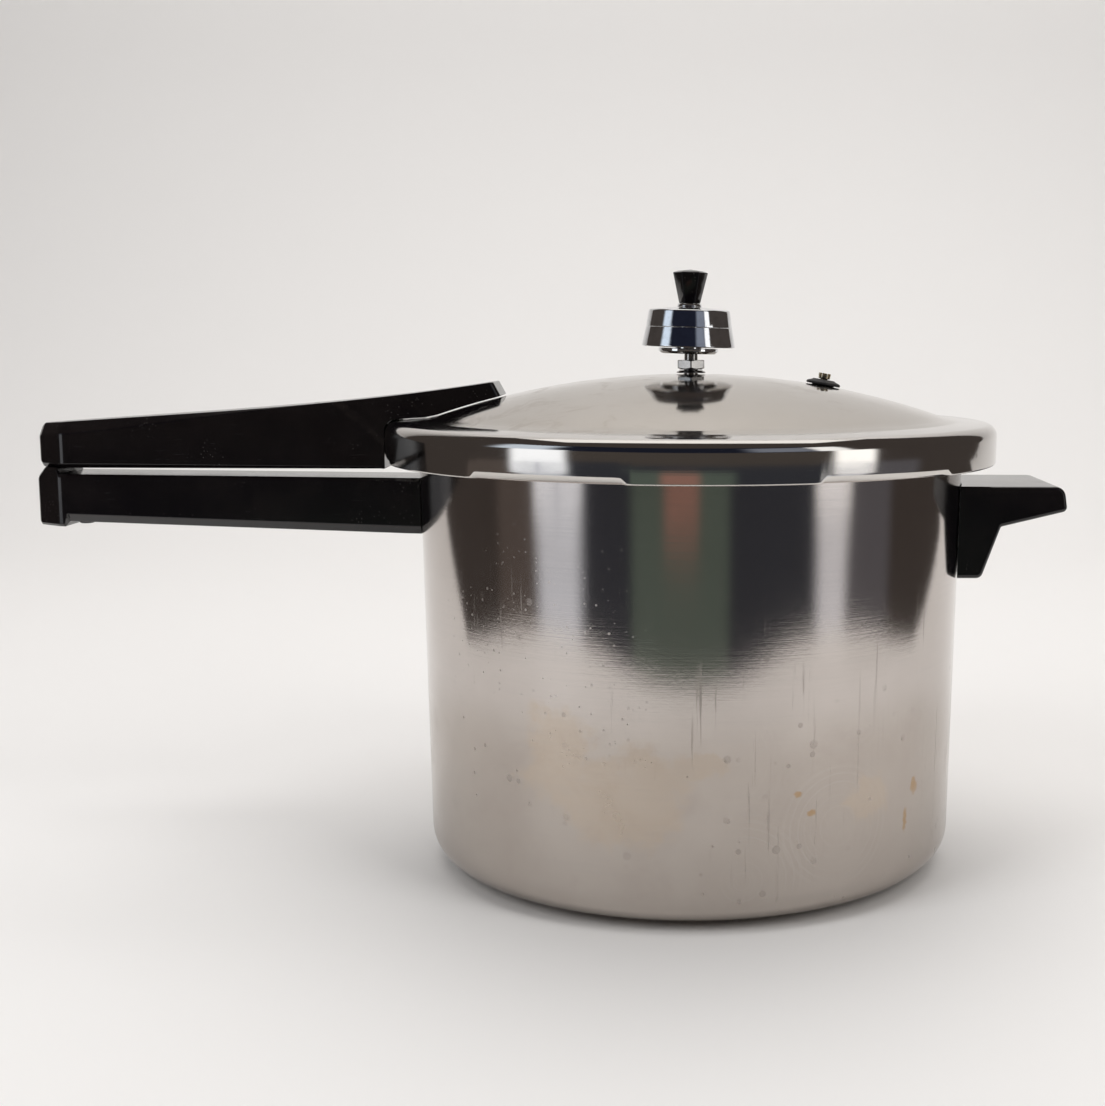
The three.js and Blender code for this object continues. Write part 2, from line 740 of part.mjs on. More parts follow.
addPiece("air_vent_pin", onDome(airVentPin()), chrome());
addPiece("regulator_spindle", regulatorSpindle(), chrome());
addPiece("regulator_lower_weight", lowerWeight(), chrome());
addPiece("regulator_upper_weight", upperWeight(), chrome());
addPiece("regulator_knob_washer", knobWasher(), chrome());
addPiece("regulator_knob", regulatorKnob(), phenolic());
addPiece("cooking_rack", cookingRack(), aluminium());

export default cooker;
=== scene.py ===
import math

import bmesh
import bpy
from mathutils import Matrix, Vector


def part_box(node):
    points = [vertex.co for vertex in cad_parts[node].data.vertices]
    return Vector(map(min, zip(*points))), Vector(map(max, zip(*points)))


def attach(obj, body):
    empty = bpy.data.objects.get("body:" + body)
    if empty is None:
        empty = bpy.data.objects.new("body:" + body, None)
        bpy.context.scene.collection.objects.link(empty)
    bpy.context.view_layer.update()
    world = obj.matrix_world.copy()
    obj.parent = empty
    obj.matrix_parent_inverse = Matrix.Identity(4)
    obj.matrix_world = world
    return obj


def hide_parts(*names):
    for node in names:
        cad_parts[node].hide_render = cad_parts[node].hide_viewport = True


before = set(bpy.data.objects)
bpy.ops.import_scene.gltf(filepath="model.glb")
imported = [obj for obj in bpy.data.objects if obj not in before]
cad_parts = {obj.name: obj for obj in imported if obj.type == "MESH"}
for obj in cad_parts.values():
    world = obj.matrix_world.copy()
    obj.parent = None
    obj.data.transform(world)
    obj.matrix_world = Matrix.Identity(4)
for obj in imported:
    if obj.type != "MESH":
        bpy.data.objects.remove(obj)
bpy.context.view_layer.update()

MM = 0.001
TURN = 2 * math.pi


def box_mm(node):
    """The lowest and highest corner of a CAD node, in millimetres."""
    low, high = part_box(node)
    return low / MM, high / MM


# ---- Sizes read from the frame ----
pot_low, pot_high = box_mm("pot_body")
disc_low, disc_high = box_mm("heat_spreader_disc")
cover_low, cover_high = box_mm("cover")
upper_low, upper_high = box_mm("cover_handle")
lower_low, lower_high = box_mm("body_handle")
helper_low, helper_high = box_mm("helper_handle")
knob_low, knob_high = box_mm("regulator_knob")

SHEET = 1.2
COVER_RADIUS = cover_high.x
SKIRT_BOTTOM = cover_low.z
DOME_TOP = cover_high.z
DOME_SPHERE = 341.6
DOME_EDGE = COVER_RADIUS - 21.9
SHOULDER_TOP = DOME_TOP - 19.4
SHOULDER_FALL = 1.2
SHOULDER_ROUND = 5.0
RIM_TOP = pot_high.z
POT_FLOOR = pot_low.z
POT_RADIUS = COVER_RADIUS - 14.4
POT_DRAFT = 0.0166
POT_CORNER = 15
RIM_RADIUS = COVER_RADIUS - 10.4
POT_LUG_RADIUS = COVER_RADIUS - 4.5
LUG_COUNT = 6
LUG_ANGLE = 28
LUG_PHASE = 5.5
HANDLE_END = upper_low.x - 1
LOWER_END = HANDLE_END - 1.5
HALF_HANDLE = upper_high.y
HALF_HELPER = helper_high.y


# ---- Outlines ----
def rounded(corners, steps=5, closed=False):
    """Points along (x, z, radius) corners, each turned into an arc of its radius where it fits."""
    count = len(corners)
    path = []
    for i, (x, z, radius) in enumerate(corners):
        if not closed and i in (0, count - 1) or radius == 0:
            path.append((x, z))
            continue
        here = Vector((x, z))
        back = Vector(corners[i - 1][:2]) - here
        ahead = Vector(corners[(i + 1) % count][:2]) - here
        half = back.angle(ahead) / 2
        if half > math.radians(89.5):
            path += [(x, z)] * (steps + 1)
            continue
        reach = min(radius / math.tan(half), 0.49 * back.length, 0.49 * ahead.length)
        radius = reach * math.tan(half)
        centre = here + (back.normalized() + ahead.normalized()).normalized() * (radius / math.sin(half))
        start = here + back.normalized() * reach - centre
        end = here + ahead.normalized() * reach - centre
        sweep = start.angle_signed(end)
        for k in range(steps + 1):
            spoke = start.copy()
            spoke.rotate(Matrix.Rotation(-sweep * k / steps, 2))
            path.append(tuple(centre + spoke))
    return path


def arc(centre_x, centre_z, radius, start, end, steps):
    """Points on a circle, from one angle to another in degrees."""
    angles = [math.radians(start + (end - start) * i / steps) for i in range(steps + 1)]
    return [(centre_x + radius * math.cos(a), centre_z + radius * math.sin(a)) for a in angles]


def smooth(share):
    """0 to 1 with an even start and end."""
    share = min(1.0, max(0.0, share))
    return share * share * (3 - 2 * share)


def lerp(a, b, share):
    return a + (b - a) * share


# ---- Meshes ----
def mesh_object(name, bm, sharp=32):
    """A mesh object in metres from a bmesh in millimetres, smooth up to the given angle."""
    bmesh.ops.scale(bm, vec=(MM, MM, MM), verts=bm.verts)
    bmesh.ops.recalc_face_normals(bm, faces=bm.faces)
    for face in bm.faces:
        face.smooth = True
    mesh = bpy.data.meshes.new(name)
    bm.to_mesh(mesh)
    bm.free()
    mesh.set_sharp_from_angle(angle=math.radians(sharp))
    made = bpy.data.objects.new(name, mesh)
    bpy.context.scene.collection.objects.link(made)
    return made


def turned(name, profile_at, steps=192, sharp=32):
    """A profile of (radius, height) points turned about Z, where the profile may change with the
    angle. A profile that starts on the axis ends there too, and any other closes on itself."""
    points_at = profile_at if callable(profile_at) else lambda angle: profile_at
    bm = bmesh.new()
    first = points_at(0.0)
    on_axis = first[0][0] == 0
    poles = [bm.verts.new((0, 0, first[0][1])), bm.verts.new((0, 0, first[-1][1]))] if on_axis else []
    columns = []
    for i in range(steps):
        angle = TURN * i / steps
        points = points_at(angle)
        inner = points[1:-1] if on_axis else points
        ring = [bm.verts.new((r * math.cos(angle), r * math.sin(angle), z)) for r, z in inner]
        columns.append([poles[0], *ring, poles[1]] if on_axis else [*ring, ring[0]])
    for i in range(steps):
        here, there = columns[i], columns[(i + 1) % steps]
        for a, b, c, d in zip(here, there, there[1:], here[1:]):
            corners = [v for k, v in enumerate((a, b, c, d)) if v not in (a, b, c, d)[:k]]
            bm.faces.new(corners)
    return mesh_object(name, bm, sharp)


def lofted(name, sections, sharp=32):
    """Closed loops of 3-D points, joined one to the next and capped at both ends."""
    bm = bmesh.new()
    loops = [[bm.verts.new(p) for p in section] for section in sections]
    for here, there in zip(loops, loops[1:]):
        for k in range(len(here)):
            j = (k + 1) % len(here)
            bm.faces.new((here[k], here[j], there[j], there[k]))
    bm.faces.new(loops[0])
    bm.faces.new(loops[-1])
    return mesh_object(name, bm, sharp)


def extruded(name, outline, low, high, bevel=0.0):
    """An outline of (x, y) points between two heights, with its edges broken."""
    made = lofted(name, [[(x, y, z) for x, y in outline] for z in (low, high)])
    return bevelled(made, bevel) if bevel else made


def bevelled(made, width, segments=3, angle=30):
    """Breaks the sharp edges of an object by a width in millimetres."""
    modifier = made.modifiers.new("edges", "BEVEL")
    modifier.width = width * MM
    modifier.segments = segments
    modifier.limit_method = "ANGLE"
    modifier.angle_limit = math.radians(angle)
    modifier.harden_normals = True
    applied(made)
    return made


def applied(made):
    """Makes an object's modifiers part of its mesh."""
    bpy.context.view_layer.update()
    graph = bpy.context.evaluated_depsgraph_get()
    old = made.data
    made.data = bpy.data.meshes.new_from_object(made.evaluated_get(graph))
    made.modifiers.clear()
    bpy.data.meshes.remove(old)
    return made


def weighted(made):
    """Keeps large faces flat in the shading where they meet small rounded edges."""
    modifier = made.modifiers.new("flat faces", "WEIGHTED_NORMAL")
    modifier.keep_sharp = True
    modifier.weight = 80
    return applied(made)


def cut(made, *tools, sharp=32, operation="DIFFERENCE"):
    """Cuts objects out of another, or keeps what they share, and removes them."""
    for tool in tools:
        modifier = made.modifiers.new("cut", "BOOLEAN")
        modifier.operation = operation
        modifier.solver = "EXACT"
        modifier.object = tool
    applied(made)
    for tool in tools:
        bpy.data.objects.remove(tool)
    made.data.set_sharp_from_angle(angle=math.radians(sharp))
    return made


def placed(made, matrix):
    """Moves an object's mesh; the matrix is in millimetres."""
    shift = matrix.copy()
    shift.translation *= MM
    made.data.transform(shift)
    return made


def rod(name, radius, low, high, at=(0, 0), steps=48):
    angles = [TURN * i / steps for i in range(steps)]
    outline = [(at[0] + radius * math.cos(a), at[1] + radius * math.sin(a)) for a in angles]
    return extruded(name, outline, low, high)


def block(name, low, high):
    (x0, y0, z0), (x1, y1, z1) = low, high
    return extruded(name, [(x0, y0), (x1, y0), (x1, y1), (x0, y1)], z0, z1)


def finished(made, body, node, material):
    """Gives a piece its material, its moving body and the CAD node that it stands for."""
    made.data.materials.clear()
    made.data.materials.append(material)
    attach(made, body)
    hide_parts(node)
    return made


def middle_x(node):
    """The x of a CAD node's middle, in millimetres."""
    low, high = box_mm(node)
    return (low.x + high.x) / 2


# ---- Material nodes ----
class Finish:
    """A material's nodes round one Principled shader."""

    def __init__(self, name, **sockets):
        self.material = bpy.data.materials.new(name)
        self.material.use_nodes = True
        self.tree = self.material.node_tree
        self.shader = self.tree.nodes["Principled BSDF"]
        for socket, value in sockets.items():
            self.shader.inputs[socket.replace("_", " ")].default_value = value
        self.position = self.node("TexCoord").outputs["Object"]

    def node(self, kind, inputs=None, **settings):
        made = self.tree.nodes.new("ShaderNode" + kind)
        for name, value in settings.items():
            setattr(made, name, value)
        for key, value in (inputs or {}).items():
            self.feed(made.inputs[key], value)
        return made

    def feed(self, socket, value):
        if isinstance(value, bpy.types.NodeSocket):
            self.tree.links.new(value, socket)
        else:
            socket.default_value = value

    def math(self, operation, a, b=0.0, c=0.0):
        return self.node("Math", {0: a, 1: b, 2: c}, operation=operation).outputs[0]

    def times(self, *values):
        product = values[0]
        for value in values[1:]:
            product = self.math("MULTIPLY", product, value)
        return product

    def plus(self, *values):
        total = values[0]
        for value in values[1:]:
            total = self.math("ADD", total, value)
        return total

    def step(self, value, low, high):
        """0 below low, 1 above high and smooth between; low may be above high."""
        inputs = {"Value": value, "From Min": low, "From Max": high}
        return self.node("MapRange", inputs, interpolation_type="SMOOTHSTEP").outputs[0]

    def range(self, value, low, high):
        """Takes 0 to 1 to low to high."""
        return self.node("MapRange", {"Value": value, "To Min": low, "To Max": high}).outputs[0]

    def axes(self, vector=None):
        return self.node("SeparateXYZ", {0: vector or self.position}).outputs

    def vector(self, x, y, z):
        return self.node("CombineXYZ", {0: x, 1: y, 2: z}).outputs[0]

    def scaled(self, x, y, z, vector=None):
        inputs = {0: vector or self.position, 1: (x, y, z)}
        return self.node("VectorMath", inputs, operation="MULTIPLY").outputs[0]

    def noise(self, scale, vector=None, detail=3.0, roughness=0.5, distortion=0.0):
        inputs = {
            "Vector": vector or self.position,
            "Scale": scale,
            "Detail": detail,
            "Roughness": roughness,
            "Distortion": distortion,
        }
        return self.node("TexNoise", inputs).outputs[0]

    def cells(self, scale):
        """Distance to the nearest of many scattered points."""
        inputs = {"Vector": self.position, "Scale": scale}
        return self.node("TexVoronoi", inputs).outputs["Distance"]

    def mix(self, share, a, b, blend="MIX"):
        made = self.node("Mix", data_type="RGBA", blend_type=blend)
        self.feed(made.inputs[0], share)
        self.feed(made.inputs[6], a if isinstance(a, bpy.types.NodeSocket) else (*a, 1))
        self.feed(made.inputs[7], b if isinstance(b, bpy.types.NodeSocket) else (*b, 1))
        return made.outputs[2]

    def bump(self, height, distance, strength=1.0):
        inputs = {"Height": height, "Distance": distance, "Strength": strength}
        made = self.node("Bump", inputs)
        socket = self.shader.inputs["Normal"]
        if socket.is_linked:
            self.tree.links.new(socket.links[0].from_socket, made.inputs["Normal"])
        self.tree.links.new(made.outputs[0], socket)

    def set(self, socket, value):
        self.feed(self.shader.inputs[socket], value)

    def spots(self, scale, share, size):
        """Scattered round marks of many sizes. A share of the cells has one, and the largest
        reaches `size` of its cell."""
        made = self.node("TexVoronoi", {"Vector": self.position, "Scale": scale})
        number = self.axes(made.outputs["Color"])[0]
        inputs = {"Value": number, "From Min": 1 - share, "To Max": size}
        reach = self.node("MapRange", inputs).outputs[0]
        past_edge = self.math("SUBTRACT", made.outputs["Distance"], reach)
        return self.step(past_edge, 0.0, -0.12 * size - 0.02)

    def round_z(self):
        """Height and radius in metres, and a vector whose third part follows a turned profile."""
        x, y, z = self.axes()
        radius = self.math("SQRT", self.plus(self.times(x, x), self.times(y, y)))
        return z, radius, self.vector(x, y, self.plus(z, radius))

    def from_centre(self, azimuth, height, wide, tall, ragged=0.0):
        """Distance from a place on the pot's wall, 1 at the border of an oval. The azimuth is in
        degrees from the front towards +X."""
        direction = math.radians(azimuth - 90)
        wall = 0.116
        centre = (wall * math.cos(direction), wall * math.sin(direction), height)
        inputs = {0: self.position, 1: centre}
        away = self.node("VectorMath", inputs, operation="SUBTRACT").outputs[0]
        away = self.scaled(1 / wide, 1 / wide, 1 / tall, away)
        distance = self.node("VectorMath", {0: away}, operation="LENGTH").outputs["Value"]
        if ragged:
            border = self.noise(0.9 / min(wide, tall), detail=5, roughness=0.65)
            distance = self.plus(distance, self.range(border, -ragged, ragged))
        return distance

    def places(self, ovals, ragged, outer, inner):
        """1 within any of several ovals on the pot's wall, and 0 beyond their ragged borders."""
        inside = 0.0
        for oval in ovals:
            near = self.step(self.from_centre(*oval, ragged=ragged), outer, inner)
            inside = self.math("MAXIMUM", inside, near)
        return inside

    def spin_direction(self):
        """Brushing runs round the pot's axis."""
        tangent = self.node("Tangent", direction_type="RADIAL", axis="Z").outputs[0]
        self.tree.links.new(tangent, self.shader.inputs["Tangent"])


def pot_steel():
    """Satin stainless steel, brushed round the pot, with dried spots, runs, scuffs and heat tint, and
    painted shade that darkens it lower down.
    """
    f = Finish("pot_steel", Metallic=1.0, Anisotropic=0.15, Anisotropic_Rotation=0.25)
    f.spin_direction()
    height, _, lathe = f.round_z()
    brushing = f.noise(1.0, f.scaled(24, 24, 2600, lathe), detail=4, roughness=0.65)
    coarse = f.noise(1.0, f.scaled(10, 10, 420, lathe), detail=3)
    cloud = f.noise(9, detail=5, roughness=0.6)
    blotch = f.noise(38, detail=6, roughness=0.66, distortion=0.6)
    mottle = f.noise(620, detail=3, roughness=0.6)
    low_down = f.step(height, 0.095, 0.065)

    spot_field = f.times(f.step(f.noise(24, detail=3), 0.5, 0.6), f.step(height, 0.15, 0.11))
    spots = f.times(f.spots(210, 0.3, 0.42), spot_field)
    runs = f.step(f.noise(1.0, f.scaled(620, 620, 15), detail=4, roughness=0.6), 0.60, 0.68)
    run_field = f.step(f.noise(1.0, f.scaled(24, 24, 9), detail=2), 0.5, 0.58)
    runs = f.times(runs, run_field, f.step(height, 0.165, 0.12))
    pits = f.spots(90, 0.12, 0.09)
    fleck_places = ((-38, 0.120, 0.050, 0.050), (-22, 0.085, 0.030, 0.022), (150, 0.110, 0.060, 0.050))
    fleck_field = f.places(fleck_places, 1.0, 1.3, 0.5)
    flecks = f.times(f.spots(430, 0.6, 0.32), fleck_field)
    film = f.times(f.step(blotch, 0.45, 0.70), low_down)

    tan_places = ((-15, 0.055, 0.030, 0.021), (-27, 0.070, 0.015, 0.020), (1, 0.067, 0.012, 0.006),
                  (38, 0.050, 0.012, 0.010), (128, 0.060, 0.030, 0.022), (215, 0.070, 0.020, 0.026))
    tan = f.places(tan_places, 1.1, 1.1, 0.7)
    burnt_places = ((52, 0.048, 0.0028, 0.0035), (49, 0.035, 0.0016, 0.0055), (24, 0.047, 0.0022, 0.0014),
                    (21, 0.055, 0.0020, 0.0013), (150, 0.052, 0.0040, 0.0030))
    burnt = f.places(burnt_places, 0.9, 1.2, 0.5)
    swirl = 0.0
    for azimuth, level, reach in ((30, 0.040, 0.030), (10, 0.022, 0.034), (6, 0.070, 0.022),
                                  (170, 0.05, 0.03)):
        distance = f.from_centre(azimuth, level, 1.0, 1.0)
        rings = f.noise(1.0, f.vector(f.times(distance, 1500), cloud, 0.0), detail=2)
        close = f.step(f.from_centre(azimuth, level, reach, reach, ragged=0.9), 1.3, 0.6)
        broken = f.step(cloud, 0.50, 0.62)
        swirl = f.math("MAXIMUM", swirl, f.times(f.step(rings, 0.52, 0.66), close, broken))

    base = f.mix(f.step(cloud, 0.35, 0.7), (0.590, 0.545, 0.515), (0.520, 0.475, 0.445))
    # painted shade: the wall's colour is darkened towards the bottom
    base = f.mix(low_down, base, (0.840, 0.820, 0.790), blend="MULTIPLY")
    base = f.mix(f.times(film, 0.4), base, (0.450, 0.395, 0.355))
    base = f.mix(f.times(tan, f.range(blotch, 0.1, 0.75)), base, (0.560, 0.455, 0.350))
    base = f.mix(f.times(f.math("MAXIMUM", spots, runs), 0.45), base, (0.330, 0.290, 0.260))
    base = f.mix(f.times(burnt, 0.7), base, (0.400, 0.240, 0.090))
    base = f.mix(f.times(pits, 0.75), base, (0.080, 0.065, 0.055))
    base = f.mix(f.times(f.step(brushing, 0.4, 0.75), 0.16), base, (0.400, 0.390, 0.385))
    base = f.mix(f.times(swirl, 0.10), base, (0.780, 0.740, 0.710))
    f.set("Base Color", base)
    rough = f.plus(
        f.range(cloud, 0.06, 0.11),
        f.times(low_down, 0.05),
        f.times(brushing, 0.04),
        f.times(flecks, 0.2),
        f.times(f.math("MAXIMUM", spots, runs), 0.14),
        f.times(film, 0.08),
        f.times(tan, 0.07),
        f.times(swirl, 0.03),
    )
    f.set("Roughness", rough)
    f.bump(f.plus(brushing, f.times(swirl, 0.1)), 0.000009)
    f.bump(coarse, 0.00003, 0.2)
    f.bump(f.times(mottle, f.step(height, 0.165, 0.13)), 0.00003, 0.35)
    f.bump(f.noise(7, detail=2), 0.0006, 0.5)
    return f.material


def cover_steel():
    """The dome is bright and scuffed, with its colour darkened and warmed as painted shade, and the band
    round it is polished.
    """
    f = Finish("cover_steel", Metallic=1.0, Anisotropic=0.3, Anisotropic_Rotation=0.25)
    f.spin_direction()
    _, radius, lathe = f.round_z()
    brushing = f.noise(1.0, f.scaled(18, 18, 1800, lathe), detail=4, roughness=0.6)
    cloud = f.noise(14, detail=5, roughness=0.6)
    wipes = f.step(f.noise(70, f.scaled(1, 1, 0.2), detail=6, roughness=0.7, distortion=0.7), 0.5, 0.64)
    scuff = f.times(wipes, f.step(f.noise(10, detail=2), 0.46, 0.6))
    dome = f.step(radius, 0.1185, 0.1135)
    specks = f.times(f.spots(150, 0.2, 0.2), f.step(f.noise(30, detail=2), 0.5, 0.6))
    base = f.mix(f.step(cloud, 0.35, 0.7), (0.650, 0.625, 0.600), (0.590, 0.565, 0.535))
    # painted shade: the dome's colour is darkened and warmed against the band's
    base = f.mix(dome, base, (0.770, 0.745, 0.705), blend="MULTIPLY")
    base = f.mix(f.times(scuff, dome, 0.55), base, (0.400, 0.350, 0.300))
    base = f.mix(f.times(specks, 0.35), base, (0.400, 0.370, 0.330))
    f.set("Base Color", base)
    bright = f.plus(f.range(cloud, 0.05, 0.09), f.times(scuff, 0.12), f.times(brushing, 0.03))
    polish = f.plus(f.range(cloud, 0.05, 0.10), f.times(brushing, 0.03), f.times(specks, 0.1))
    band = f.math("SUBTRACT", 1.0, dome)
    f.set("Roughness", f.plus(f.times(dome, bright), f.times(band, polish)))
    f.bump(brushing, 0.000006)
    f.bump(f.noise(18, detail=2), 0.00035, 0.4)
    return f.material


def bright_metal(name, color, rough_low, rough_high):
    """Chrome or plain bright steel with faint smudges and fine scratches."""
    f = Finish(name, Metallic=1.0)
    smudge = f.noise(220, detail=4, roughness=0.6)
    scratch = f.step(f.noise(900, f.scaled(1, 1, 0.12), detail=3, roughness=0.7), 0.6, 0.72)
    f.set("Base Color", f.mix(f.step(smudge, 0.4, 0.75), color, tuple(c * 0.86 for c in color)))
    f.set("Roughness", f.plus(f.range(smudge, rough_low, rough_high), f.times(scratch, 0.06)))
    f.bump(f.plus(smudge, f.times(scratch, 0.5)), 0.00002, 0.5)
    return f.material


def cast_aluminium():
    f = Finish("aluminium", Metallic=1.0)
    grain = f.noise(1500, detail=3, roughness=0.7)
    cloud = f.noise(35, detail=4)
    f.set("Base Color", f.mix(f.step(cloud, 0.35, 0.7), (0.60, 0.60, 0.61), (0.50, 0.50, 0.51)))
    f.set("Roughness", f.plus(f.range(cloud, 0.32, 0.44), f.times(grain, 0.08)))
    f.bump(grain, 0.00003)
    return f.material


def phenolic():
    """Glossy black moulding with hair scratches, dust and slightly browned worn edges."""
    f = Finish("phenolic", Specular_IOR_Level=0.45, Coat_Weight=0.1, Coat_Roughness=0.04)
    cloud = f.noise(55, detail=4, roughness=0.6)
    hair = f.noise(1.0, f.scaled(60, 700, 2100), detail=3, roughness=0.7)
    scratch = f.step(hair, 0.64, 0.72)
    dust = f.times(f.step(f.cells(620), 0.16, 0.1), f.step(f.noise(48, detail=2), 0.5, 0.62))
    pointed = f.node("NewGeometry").outputs["Pointiness"]
    worn = f.times(f.step(pointed, 0.53, 0.6), f.step(cloud, 0.35, 0.6))
    base = f.mix(f.step(cloud, 0.35, 0.7), (0.0032, 0.0024, 0.0030), (0.0060, 0.0045, 0.0048))
    base = f.mix(f.times(worn, 0.4), base, (0.02, 0.016, 0.014))
    base = f.mix(f.times(dust, 0.35), base, (0.10, 0.09, 0.085))
    f.set("Base Color", base)
    rough = f.plus(f.range(cloud, 0.1, 0.2), f.times(scratch, 0.14), f.times(dust, 0.3))
    f.set("Roughness", rough)
    f.bump(f.plus(f.times(scratch, -0.4), cloud), 0.00004, 0.5)
    f.bump(f.noise(90, detail=1), 0.00012, 0.35)
    return f.material


def rubber():
    f = Finish("rubber", Specular_IOR_Level=0.4)
    cloud = f.noise(160, detail=4)
    grain = f.noise(2200, detail=2)
    f.set("Base Color", f.mix(f.step(cloud, 0.35, 0.7), (0.012, 0.012, 0.013), (0.03, 0.028, 0.027)))
    f.set("Roughness", f.plus(f.range(cloud, 0.42, 0.6), f.times(grain, 0.1)))
    f.bump(grain, 0.00005)
    return f.material


POT_STEEL = pot_steel()
COVER_STEEL = cover_steel()
CHROME = bright_metal("chrome", (0.80, 0.81, 0.83), 0.03, 0.09)
# painted shade: the vent pipe, its washer and locknut get a darker steel colour than the other fittings
VENT_STEEL_PAINTED_SHADE = bright_metal("vent_steel", (0.38, 0.37, 0.36), 0.12, 0.24)
FITTING_STEEL = bright_metal("fitting_steel", (0.60, 0.59, 0.57), 0.2, 0.32)
BRASS = bright_metal("pin_metal", (0.66, 0.58, 0.42), 0.16, 0.3)
ALUMINIUM = cast_aluminium()
PHENOLIC = phenolic()
RUBBER = rubber()


# ---- Pot ----
def wall_radius(height):
    """The outside of the pot's wall, which narrows downwards."""
    return POT_RADIUS - POT_DRAFT * (RIM_TOP - height)


def lug_share(angle, blend=2.4):
    """1 within a lug, 0 between lugs, and smooth over its two ends."""
    pitch = 360 / LUG_COUNT
    off = (math.degrees(angle) - LUG_PHASE + pitch / 2) % pitch - pitch / 2
    return smooth((LUG_ANGLE / 2 + blend / 2 - abs(off)) / blend)


def pot_profile(angle):
    edge = lerp(RIM_RADIUS, POT_LUG_RADIUS, lug_share(angle))
    corner_z = POT_FLOOR + POT_CORNER
    flange = 1.5
    neck = wall_radius(RIM_TOP - 4)
    inner = SHEET + 0.1
    corners = [
        (0, POT_FLOOR, 0),
        (disc_high.x - 4, POT_FLOOR, 2),
        (wall_radius(POT_FLOOR), POT_FLOOR, POT_CORNER),
        (neck, RIM_TOP - 4, 0),
        (neck + 0.2, RIM_TOP - flange, 1.6),
        (edge, RIM_TOP - flange, 0.7),
        (edge, RIM_TOP, 0.7),
        (neck - inner + 0.2, RIM_TOP, 2.8),
        (neck - inner, RIM_TOP - 5, 0),
        (wall_radius(corner_z) - inner, POT_FLOOR + SHEET, POT_CORNER - SHEET),
        (0, POT_FLOOR + SHEET, 0),
    ]
    return rounded(corners, steps=8)


def make_pot():
    pot = turned("pot_shell", pot_profile, steps=288)
    finished(pot, "pot", "pot_body", POT_STEEL)
    low, high = disc_low.z, disc_high.z
    radius = disc_high.x
    disc = turned("base_disc", rounded([
        (0, low + 0.3, 0),
        (radius - 26, low + 0.3, 1),
        (radius - 25, low, 0.4),
        (radius, low, 1.0),
        (radius, high, 0.5),
        (0, high, 0),
    ]))
    finished(disc, "pot", "heat_spreader_disc", ALUMINIUM)


# ---- Cover ----
DOME_CENTRE = DOME_TOP - DOME_SPHERE
COVER_LUG_INNER = COVER_RADIUS - 9
VENT_HOLE = 3.5
DOME_STATIONS = [lerp(DOME_EDGE - 4, VENT_HOLE, i / 30) for i in range(31)]
plug_low, plug_high = box_mm("overpressure_plug")
PLUG_X = (plug_low.x + plug_high.x) / 2


def dome_height(radius, offset=0.0):
    return DOME_CENTRE + math.sqrt((DOME_SPHERE + offset) ** 2 - radius ** 2)


def cover_profile(angle):
    """Up the outside from the rolled lower edge to the vent hole, and back down the inside."""
    share = lug_share(angle, 1.4)
    roll = lerp(0.75, 3.6, share)
    lug_radius = lerp(COVER_RADIUS - SHEET - 0.25, COVER_LUG_INNER, share)
    inner_roll = lerp(0.3, 2.4, share)
    dome_out = [(r, dome_height(r)) for r in DOME_STATIONS]
    dome_in = [(r, dome_height(r, -SHEET)) for r in reversed(DOME_STATIONS)]
    outside = rounded([
        (lug_radius, SKIRT_BOTTOM + SHEET, 0),
        (lug_radius, SKIRT_BOTTOM, 0.45),
        (COVER_RADIUS - 0.15, SKIRT_BOTTOM, roll),
        (COVER_RADIUS + 0.1, SHOULDER_TOP - SHOULDER_FALL, SHOULDER_ROUND),
        (DOME_EDGE + 5, SHOULDER_TOP, 1.6),
        (DOME_EDGE, dome_height(DOME_EDGE), 3),
        (VENT_HOLE, dome_height(VENT_HOLE), 0),
    ], steps=8)[:-1]
    inside = rounded([
        (VENT_HOLE, dome_height(VENT_HOLE, -SHEET), 0),
        (DOME_EDGE, dome_height(DOME_EDGE) - SHEET, 3),
        (DOME_EDGE + 4.8, SHOULDER_TOP - SHEET, 1.6),
        (COVER_RADIUS - SHEET + 0.1, SHOULDER_TOP - SHOULDER_FALL - SHEET, SHOULDER_ROUND - SHEET),
        (COVER_RADIUS - SHEET - 0.15, SKIRT_BOTTOM + SHEET, inner_roll),
        (lug_radius, SKIRT_BOTTOM + SHEET, 0),
    ], steps=8)[1:-1]
    return outside + dome_out + dome_in + inside


def on_dome(made):
    """Stands a piece that is made about Z on the dome where the overpressure plug is."""
    tilt = math.asin(PLUG_X / DOME_SPHERE)
    surface = Matrix.Translation((PLUG_X, 0, dome_height(PLUG_X)))
    return placed(made, surface @ Matrix.Rotation(tilt, 4, "Y"))


def make_cover():
    cover = turned("cover_shell", cover_profile, steps=360)
    cut(cover, on_dome(rod("plug_hole", 5.2, -10, 10)))
    finished(cover, "cover", "cover", COVER_STEEL)


def make_sealing_ring():
    low, high = (corner.z for corner in box_mm("sealing_ring"))
    outer = box_mm("sealing_ring")[1].x
    inner = outer - 12
    middle = (low + high) / 2
    ring = turned("seal_ring", rounded([
        (inner + 0.6, low, 0.5),
        (outer, low, 0.9),
        (outer, high - 3.4, 1.2),
        (outer - 3, high, 1.6),
        (inner + 0.6, high, 0.5),
        (inner, high - 1.2, 0.6),
        (inner + 5, middle + 0.5, 0.6),
        (inner + 5, middle - 0.5, 0.6),
        (inner, low + 1.2, 0.6),
    ], steps=4, closed=True))
    finished(ring, "seal", "sealing_ring", RUBBER)


# ---- Long handles ----
CHANNEL_HALF, CHANNEL_BOTTOM, CHANNEL_TOP = 6.5, 153.5, 162
TONGUE_HALF, TONGUE_BOTTOM, TONGUE_TOP = 8, 156.5, 160.5
SHANK_HOLE = 2.6
BELOW_HANDLES = 140  # a height that is clear of the lower handle and the helper handle's plate


